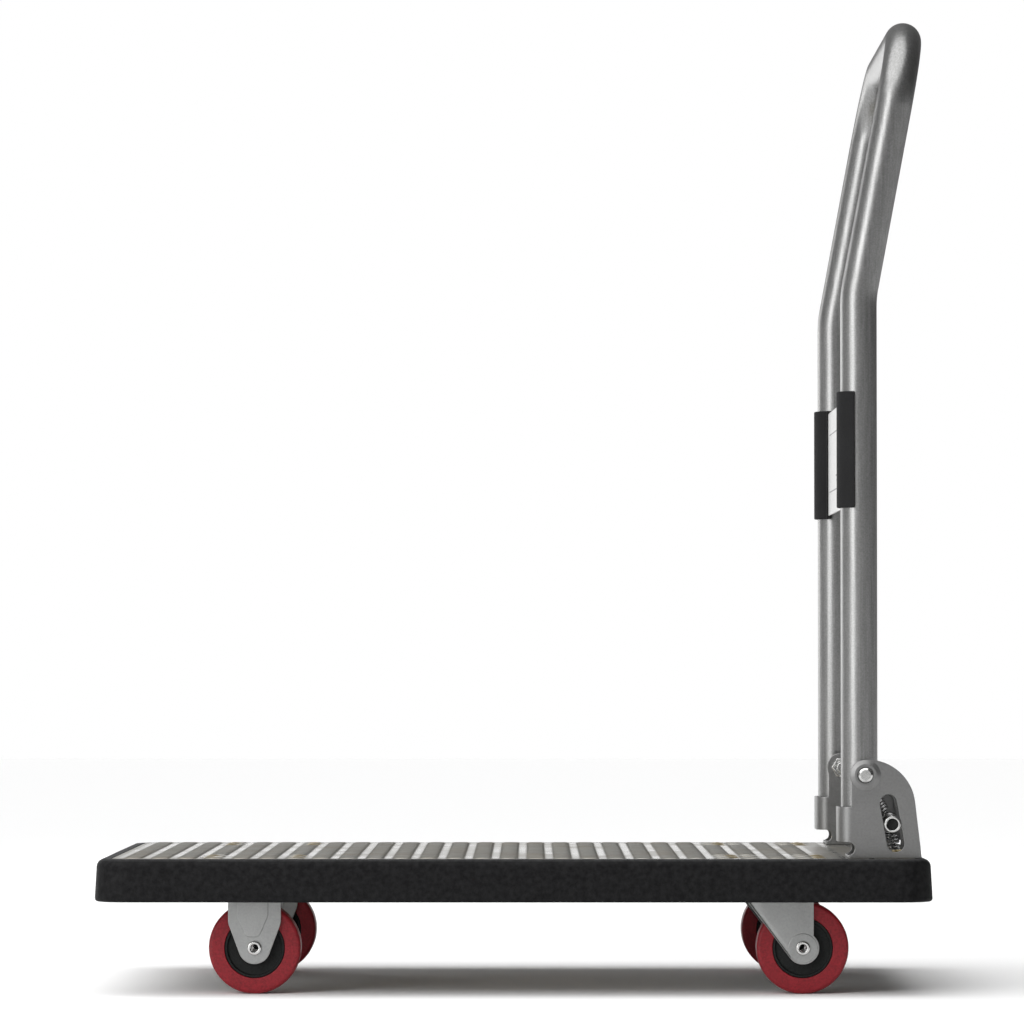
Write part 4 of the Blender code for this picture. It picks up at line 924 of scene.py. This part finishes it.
def make_swivel_head(name):
    """Slotted top plate, the ball race's two cups with the balls' groove between them, and the kingpin."""
    low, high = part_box(f"{name}_top_plate")
    x, y = (low.x + high.x) / 2, (low.y + high.y) / 2
    plate = slotted_plate(f"{name}_top_plate", low.z, high.z, ring((x, y), 0.0063))
    skin(f"{name}_top_plate", [plate], ZINC, "deck", "caster_zinc")
    low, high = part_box(f"{name}_ball_race")
    inner, outer, cup = 0.0140, (high.x - low.x) / 2, 0.0023
    race = filleted([(inner, low.z, 0.0004), (outer, low.z, 0.0008), (outer, low.z + cup, 0.0008),
                     (outer - 0.002, low.z + cup, 0.0), (outer - 0.002, high.z - cup, 0.0),
                     (outer, high.z - cup, 0.0008), (outer, high.z, 0.0008), (inner, high.z, 0.0004)])
    skin(f"{name}_ball_race", [turned(race, (x, y, 0), "Z", 56, closed=True)], BRIGHT, "deck", "bright_steel")
    low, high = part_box(f"{name}_kingpin")
    head, shank, neck = (high.x - low.x) / 2, 0.0060, low.z + 0.0035
    pin = filleted([(0, low.z, 0), (head * 0.78, low.z, 0.0015), (head, low.z + 0.0016, 0.0012),
                    (head, neck, 0.0003), (shank, neck, 0), (shank, high.z, 0.0005), (0, high.z, 0)],
                   closed=False)
    skin(f"{name}_kingpin", [turned(pin, (x, y, 0), "Z", 40)], BRIGHT, "deck", "bright_steel")


for caster in CASTERS:
    axle_middle, axle_half = make_wheel(caster, f"{caster}_wheel")
    if caster.startswith("front"):
        make_axle(caster, "deck", axle_middle, axle_half)
        make_rigid_fork(caster, axle_middle, axle_half)
    else:
        make_axle(caster, f"{caster}_swivel", axle_middle, axle_half)
        make_swivel_fork(caster, f"{caster}_swivel", axle_middle, axle_half, middle(f"{caster}_kingpin"))
        make_swivel_head(caster)

# ---- Handle, name plate and pads ----


def make_handle():
    """The bent tube: two upright legs that lean back above a kink, joined across the top."""
    top = handle_high.z - tube_radius
    top_x = leg.x + (top - KINK_HEIGHT) * tan(HANDLE_LEAN)
    half = [(leg.x, leg.y, handle_low.z, 0.0), (leg.x, leg.y, KINK_HEIGHT, KINK_RADIUS),
            (top_x, leg.y, top, TOP_CORNER)]
    corners = half + [(x, -y, z, radius) for x, y, z, radius in half[::-1]]
    path = filleted(corners, closed=False, step=radians(3))
    tube = swept(path, tube_radius, TUBE_SIDES)
    piece("handle_skin", [tube], TUBE, "handle", "tube_steel", ["handle_tube"])
    for name, side in SIDES.items():
        low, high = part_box(f"{name}_leg_plug")[0].z, handle_low.z - SEAM
        head = filleted([(0, low, 0), (tube_radius, low, 0.0008), (tube_radius, high, 0.0002), (0, high, 0)],
                        closed=False)
        head = turned(head, (leg.x, side * leg.y, 0), "Z", TUBE_SIDES)
        skin(f"{name}_leg_plug", [head], CORE, "handle", "core_plastic")


def make_name_plate():
    outline = rounded((-plate_high.y, plate_high.y), (plate_low.z, plate_high.z), 0.003)
    points, faces = cut_sheet(outline, (), plate_low.x, plate_high.x, 0.0003)
    skin("name_plate", [(points[:, (2, 0, 1)], faces)], LABEL, "handle", "plate_aluminium")


def make_pads():
    """Rubber pads round the fronts of the legs, each with a block that holds the plate's end."""
    for name, side in SIDES.items():
        low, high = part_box(f"{name}_pad")
        outer, inner = leg.x - low.x, tube_radius + SEAM
        reach = radians(74)
        outline = np.concatenate((arc((leg.x, leg.y), outer, pi - reach, pi + reach, 33),
                                  arc((leg.x, leg.y), inner, pi + reach, pi - reach, 33)))
        near, far = sorted((abs(low.y), abs(high.y)))
        x = (plate_low.x + plate_high.x) / 2
        block = filleted([(x - 0.0022, near, 0.0007), (x + 0.0022, near, 0.0007),
                          (x + 0.0022, near + 0.006, 0), (x - 0.0022, near + 0.006, 0)])
        surfaces = [mirrored(cut_sheet(shape, (), low.z, high.z, edge), side)
                    for shape, edge in ((outline, 0.0011), (block, 0.0006))]
        skin(f"{name}_pad", surfaces, PAD, "handle", "pad_rubber")


# ---- Brackets, pivots and release bar ----

BAR_STOP_DEPTH = 0.0035  # from the bar's ends in to their stops
FACE_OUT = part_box("right_bracket")[1].y - BOSS_HEIGHT  # the outer side plate's outer face
FACE_IN = bracket_low.y  # the inner side plate's face towards the middle of the cart
SLIDE = np.array((sin(SLIDE_TILT), -cos(SLIDE_TILT)))  # down the slots


def bracket_half():
    """Half of the bracket's blank, as (x, z) seen from the side: relief cut, base, shoulder and ear."""
    front = leg.x - WRAP_START
    tab_low, tab_high = DECK_TOP + WRAP_SPAN[0], DECK_TOP + WRAP_SPAN[1]
    base, rear = bracket_low.z, bracket_high.x
    relief = (front - RELIEF_RADIUS / 2, tab_low - RELIEF_RADIUS)
    ear = np.array((pivot.x, pivot.z))
    shoulder = np.array((bar.x, pivot.z)) + SHOULDER
    radius = EAR_RADIUS + np.hypot(*(ear - shoulder))
    foot = tangent_angle((rear, base), shoulder, radius, 1)
    top = np.arctan2(*(ear - shoulder)[::-1])
    last = 2 * pi - np.arccos((front - ear[0]) / EAR_RADIUS)
    return np.concatenate((arc(relief, RELIEF_RADIUS, pi / 2, -pi / 2, 15), [(relief[0], base), (rear, base)],
                           arc(shoulder, radius, foot, top, 21), arc(ear, EAR_RADIUS, top, last, 25)[1:],
                           [(front, tab_high)]))


def slot_outline():
    """Two half circles round the ends of the bar's way."""
    radius, rest, half_turn = bar_radius + SLOT_PLAY, np.array((bar.x, bar.z)), SLIDE_TILT + pi
    return np.concatenate((arc(rest - SLOT_REACH[0] * SLIDE, radius, SLIDE_TILT, half_turn, 17),
                           arc(rest + SLOT_REACH[1] * SLIDE, radius, half_turn, half_turn + pi, 17)))


def bracket_sheet():
    """The blank bent round the leg: outer plate, bend, wrap, bend, inner plate. Its length runs from the
    outer plate's rear edge and its depth in from the outside."""
    front, rear = leg.x - WRAP_START, bracket_high.x
    bend = front - bracket_low.x
    across = FACE_OUT - FACE_IN - 2 * bend
    quarter = (bend * pi / 2, pi / 2)
    runs = [(rear - front, 0.0), quarter, (across, 0.0), quarter, (rear - front, 0.0)]
    total = sum(run for run, _ in runs)

    def both(shape):
        near = np.column_stack((rear - shape[:, 0], shape[:, 1]))
        return near, near[::-1] * (-1, 1) + (total, 0)

    outline = np.concatenate(both(bracket_half()))
    holes = [*both(slot_outline()), *both(ring((pivot.x, pivot.z), BOSS_BORE, 36))]
    turn = np.linspace(0.0, bend * pi / 2, 12)
    places = np.concatenate((rear - front + turn, total - (rear - front) - turn))
    cuts = [((s, 0, 0), (1, 0, 0)) for s in places]
    points, faces = sliced(cut_sheet(outline, holes, 0.0, SHEET), cuts)
    flat = bent(points[:, 0], points[:, 2], (rear, FACE_OUT), pi, runs)
    return np.column_stack((flat, points[:, 1])), faces


def boss():
    """A cone pressed out round the pivot's hole, with a rounded ring at its top."""
    foot, under = EAR_RADIUS - 0.0002, -0.0006
    profile = filleted([(BOSS_BORE, under, 0), (foot, under, 0), (foot, 0.0001, 0.0003),
                        (BOSS_TOP + 0.0005, BOSS_HEIGHT, 0.0012), (BOSS_BORE, BOSS_HEIGHT, 0.0004)])
    return turned(profile, (pivot.x, FACE_OUT, pivot.z), "Y", 64, closed=True)


def make_brackets():
    low, high = FACE_IN + SHEET * 0.6, FACE_OUT - SHEET * 0.6
    front, rear = leg.x - 0.0104, bracket_high.x - 0.0120
    base = rounded((front, rear), (low, high), 0.0006)
    holes = [ring(middle(f"right_base_bolt_{place}")[:2], 0.0033, 20) for place in ("front", "rear")]
    surfaces = [bracket_sheet(), boss(), cut_sheet(base, holes, bracket_low.z, bracket_low.z + SHEET)]
    for name, side in SIDES.items():
        skin(f"{name}_bracket", [mirrored(s, side) for s in surfaces], BRACKET, "deck", "bracket_steel")


def make_pivots():
    """Bolts whose low heads have a broad flat, a chamfer and a sunk rim, and the spacers by the legs."""
    low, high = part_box("right_pivot_bolt")
    head, shank, seat = (high.x - low.x) / 2, AXLE_RADIUS, high.y - 0.0030
    bolt = filleted([(0, low.y, 0), (shank, low.y, 0.0006), (shank, seat, 0.0002), (head, seat, 0.0003),
                     (head, seat + 0.0006, 0.0002), (head * 0.93, seat + 0.0008, 0.0002),
                     (head * 0.93, high.y - 0.0012, 0.0006), (head * 0.68, high.y, 0.0004), (0, high.y, 0)],
                    closed=False)
    near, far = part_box("right_pivot_spacer")
    outer = (far.x - near.x) / 2
    spacer = filleted([(shank + SEAM, near.y, 0.0002), (outer, near.y, 0.0005), (outer, far.y, 0.0005),
                       (shank + SEAM, far.y, 0.0002)])
    for name, side in SIDES.items():
        centre = (pivot.x, 0, pivot.z)
        for part, surface in (("bolt", turned(bolt, centre, "Y", 48)),
                              ("spacer", turned(spacer, centre, "Y", 40, closed=True))):
            skin(f"{name}_pivot_{part}", [mirrored(surface, side)], BRIGHT, "deck", "bright_steel")
        softened(f"{name}_pivot_nut", BRIGHT, 0.0005)
        softened(f"{name}_bar_clip", SPRING, 0.0002)
        for place in ("front", "rear"):
            softened(f"{name}_base_bolt_{place}", YELLOW, 0.0004)
            softened(f"{name}_base_nut_{place}", YELLOW, 0.0004)


def make_release_bar():
    """A plain tube whose ends are rounded over at the rim, a dark stop inside each end, and a thin guard on
    it behind each bracket's slots."""
    end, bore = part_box("release_bar")[1].y, bar_radius - 0.0020
    corners = [(bar_radius, end, 0.0007), (bore, end, 0.0006)]
    wall = filleted([(r, -a, f) for r, a, f in corners[::-1]] + corners)
    centre = (bar.x, 0, bar.z)
    skin("release_bar", [turned(wall, centre, "Y", 56, closed=True)], BRIGHT, "release_bar", "tube_steel")
    face, plug = end - BAR_STOP_DEPTH, bore + 0.0003
    stop = filleted([(0, face - 0.006, 0), (plug, face - 0.006, 0), (plug, face, 0.0005), (0, face, 0)],
                    closed=False)
    outline = rounded((bar.x - 0.0112, bar.x + 0.0112), (bar.z - 0.0172, bar.z + 0.0285), 0.0060)
    hole = ring((bar.x, bar.z), bar_radius + SEAM, 36)
    guard = standing(cut_sheet(outline, (hole,), FACE_IN - 0.0013, FACE_IN - 0.0003, 0.0002))
    stops = [mirrored(turned(stop, centre, "Y", 40), side) for side in SIDES.values()]
    guards = [mirrored(guard, side) for side in SIDES.values()]
    piece("bar_stops", stops, CORE, "release_bar", "core_plastic")
    piece("slot_guards", guards, BRACKET, "release_bar", "bracket_steel")


# ---- Springs ----


def helix(start, end, turns, ease):
    """A wire's middle line: start + share (end - start), plus the coil's radius times the cosine and sine of
    the turn, square to the axis. Where it eases, the radius grows from nothing over its first and last part."""
    share = np.linspace(0.0, 1.0, int(turns * 20) + 1)[:, None]
    along = unit(end - start)
    side = np.cross(along, (0.0, 1.0, 0.0))
    angle = 2 * pi * turns * share
    swell = smooth(share / ease) * smooth((1 - share) / ease) if ease else 1.0
    out = side * np.cos(angle) + np.array((0.0, 1.0, 0.0)) * np.sin(angle)
    return start + share * (end - start) + COIL_RADIUS * swell * out


def hook(centre, radius, towards):
    """The wire's end bent round a pin, open on the side that faces the coil."""
    across = np.cross(towards, (0.0, 1.0, 0.0))
    angle = np.linspace(radians(50), 2 * pi, 27)[:, None]
    return centre + radius * (towards * np.cos(angle) + across * np.sin(angle))


def make_springs():
    """An extension spring from the pivot's spacer to the bar and a compression spring under the bar. Each coil
    is drawn once, at rest, between the deck and the bar, which slides down when it is pressed."""
    spacer, y = half_size("right_pivot_spacer").x, middle("right_pivot_spacer").y
    low_end, high_end = np.array((bar.x, y, bar.z)), np.array((pivot.x, y, pivot.z))
    towards = unit(high_end - low_end)
    low_loop, high_loop = bar_radius + WIRE + SEAM, spacer + WIRE + SEAM
    first, last = low_end + towards * (low_loop + 0.0012), high_end - towards * (high_loop + 0.0012)
    coil = helix(first, last, UPPER_TURNS, 0.10)
    path = np.concatenate((hook(low_end, low_loop, towards), coil, hook(high_end, high_loop, -towards)[::-1]))
    down = np.array((SLIDE[0], 0.0, SLIDE[1]))
    under = low_end + down * (low_loop + WIRE + 0.0005)
    rest = bracket_low.z + SHEET + SEAM + WIRE + COIL_RADIUS * sin(SLIDE_TILT)
    drop = (under[2] - rest) / cos(SLIDE_TILT)
    foot = under + down * drop
    lower = helix(foot, under, LOWER_TURNS, 0.0)
    for name, side in SIDES.items():
        for level, *places in (("upper", path, first, last), ("lower", lower, foot, under)):
            line, bottom, top = (place * (1.0, side, 1.0) for place in places)
            ahead = unit(top - bottom)
            out = line - bottom - ((line - bottom) @ ahead)[:, None] * ahead + (0.0, 1e-5, 0.0)
            made = skin(f"{name}_{level}_spring", [swept(line, WIRE, 10, out)], SPRING, None, "spring_steel",
                        weighted=False)
            fixed, moving = (top, bottom) if level == "upper" else (bottom, top)
            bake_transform(made)


make_handle()
make_name_plate()
make_pads()
make_brackets()
make_pivots()
make_release_bar()
make_springs()

# ---- Stage, lights and camera ----


def flat(name, corners, colour, roughness):
    finish = Finish(name, colour, 0.0, roughness)
    mesh = bpy.data.meshes.new(name)
    mesh.from_pydata(corners, [], [tuple(range(len(corners)))])
    mesh.materials.append(finish.material)
    made = added(name, mesh)


def soft_light(name, place, target, size, power):
    """A rectangular area light aimed at a target and hidden from the camera."""
    lamp = bpy.data.lights.new(name, "AREA")
    lamp.shape = "RECTANGLE"
    lamp.size, lamp.size_y = size
    lamp.energy = power
    made = added(name, lamp)
    made.location = place
    made.rotation_euler = (Vector(target) - Vector(place)).to_track_quat("-Z", "Y").to_euler()
    made.visible_camera = False


def set_world():
    """A pale backdrop for the camera. It lights the cart dimly, and less from the right than the left."""
    world = bpy.data.worlds.new("studio")
    world.use_nodes = True
    tree = world.node_tree
    dim = tree.nodes["Background"]
    plain = tree.nodes.new("ShaderNodeBackground")
    plain.inputs["Color"].default_value = (1.0, 1.0, 1.0, 1.0)
    direction = tree.nodes.new("ShaderNodeTexCoord")
    split = tree.nodes.new("ShaderNodeSeparateXYZ")
    spread = tree.nodes.new("ShaderNodeMapRange")
    for socket, value in zip(("From Min", "From Max", "To Min", "To Max"), (-1.0, 1.0, 0.36, 0.06)):
        spread.inputs[socket].default_value = value
    path = tree.nodes.new("ShaderNodeLightPath")
    both = tree.nodes.new("ShaderNodeMixShader")
    for source, target in ((direction.outputs["Generated"], split.inputs[0]),
                           (split.outputs["X"], spread.inputs["Value"]),
                           (spread.outputs[0], dim.inputs["Strength"]),
                           (path.outputs["Is Camera Ray"], both.inputs[0]),
                           (dim.outputs[0], both.inputs[1]), (plain.outputs[0], both.inputs[2]),
                           (both.outputs[0], tree.nodes["World Output"].inputs["Surface"])):
        tree.links.new(source, target)
    dim.inputs["Color"].default_value = (1.0, 1.0, 1.0, 1.0)
    bpy.context.scene.world = world


def set_stage():
    flat("floor", [(-12, -12, 0), (12, -12, 0), (12, 12, 0), (-12, 12, 0)], (0.95, 0.95, 0.95), 0.95)
    set_world()
    overhead = bpy.data.lights.new("overhead", "SUN")
    overhead.energy, overhead.angle = 3.0, radians(80)
    lamp = added("overhead", overhead)
    lamp.rotation_euler = Vector((0.35, 0.30, -1.0)).to_track_quat("-Z", "Y").to_euler()
    soft_light("key", (-1.9, -2.6, 1.2), (0.2, 0.0, 0.4), (1.5, 2.2), 46)
    soft_light("rim", (-2.3, 2.6, 0.9), (0.1, 0.0, 0.4), (1.2, 1.6), 14)
    soft_light("back", (-0.6, 3.4, 0.62), (-0.1, 0.0, 0.12), (3.4, 1.0), 13)


def set_camera():
    lens = bpy.data.cameras.new("camera")
    lens.lens, lens.sensor_width = 196.0, 36.0
    camera = added("camera", lens)
    place, target = Vector((0.0142, -5.0375, 0.2850)), Vector((-0.0013, -0.2375, 0.4173))
    camera.location = place
    camera.rotation_euler = (target - place).to_track_quat("-Z", "Y").to_euler()
    bpy.context.scene.camera = camera


set_stage()
set_camera()
bpy.context.scene.view_settings.view_transform = "Standard"
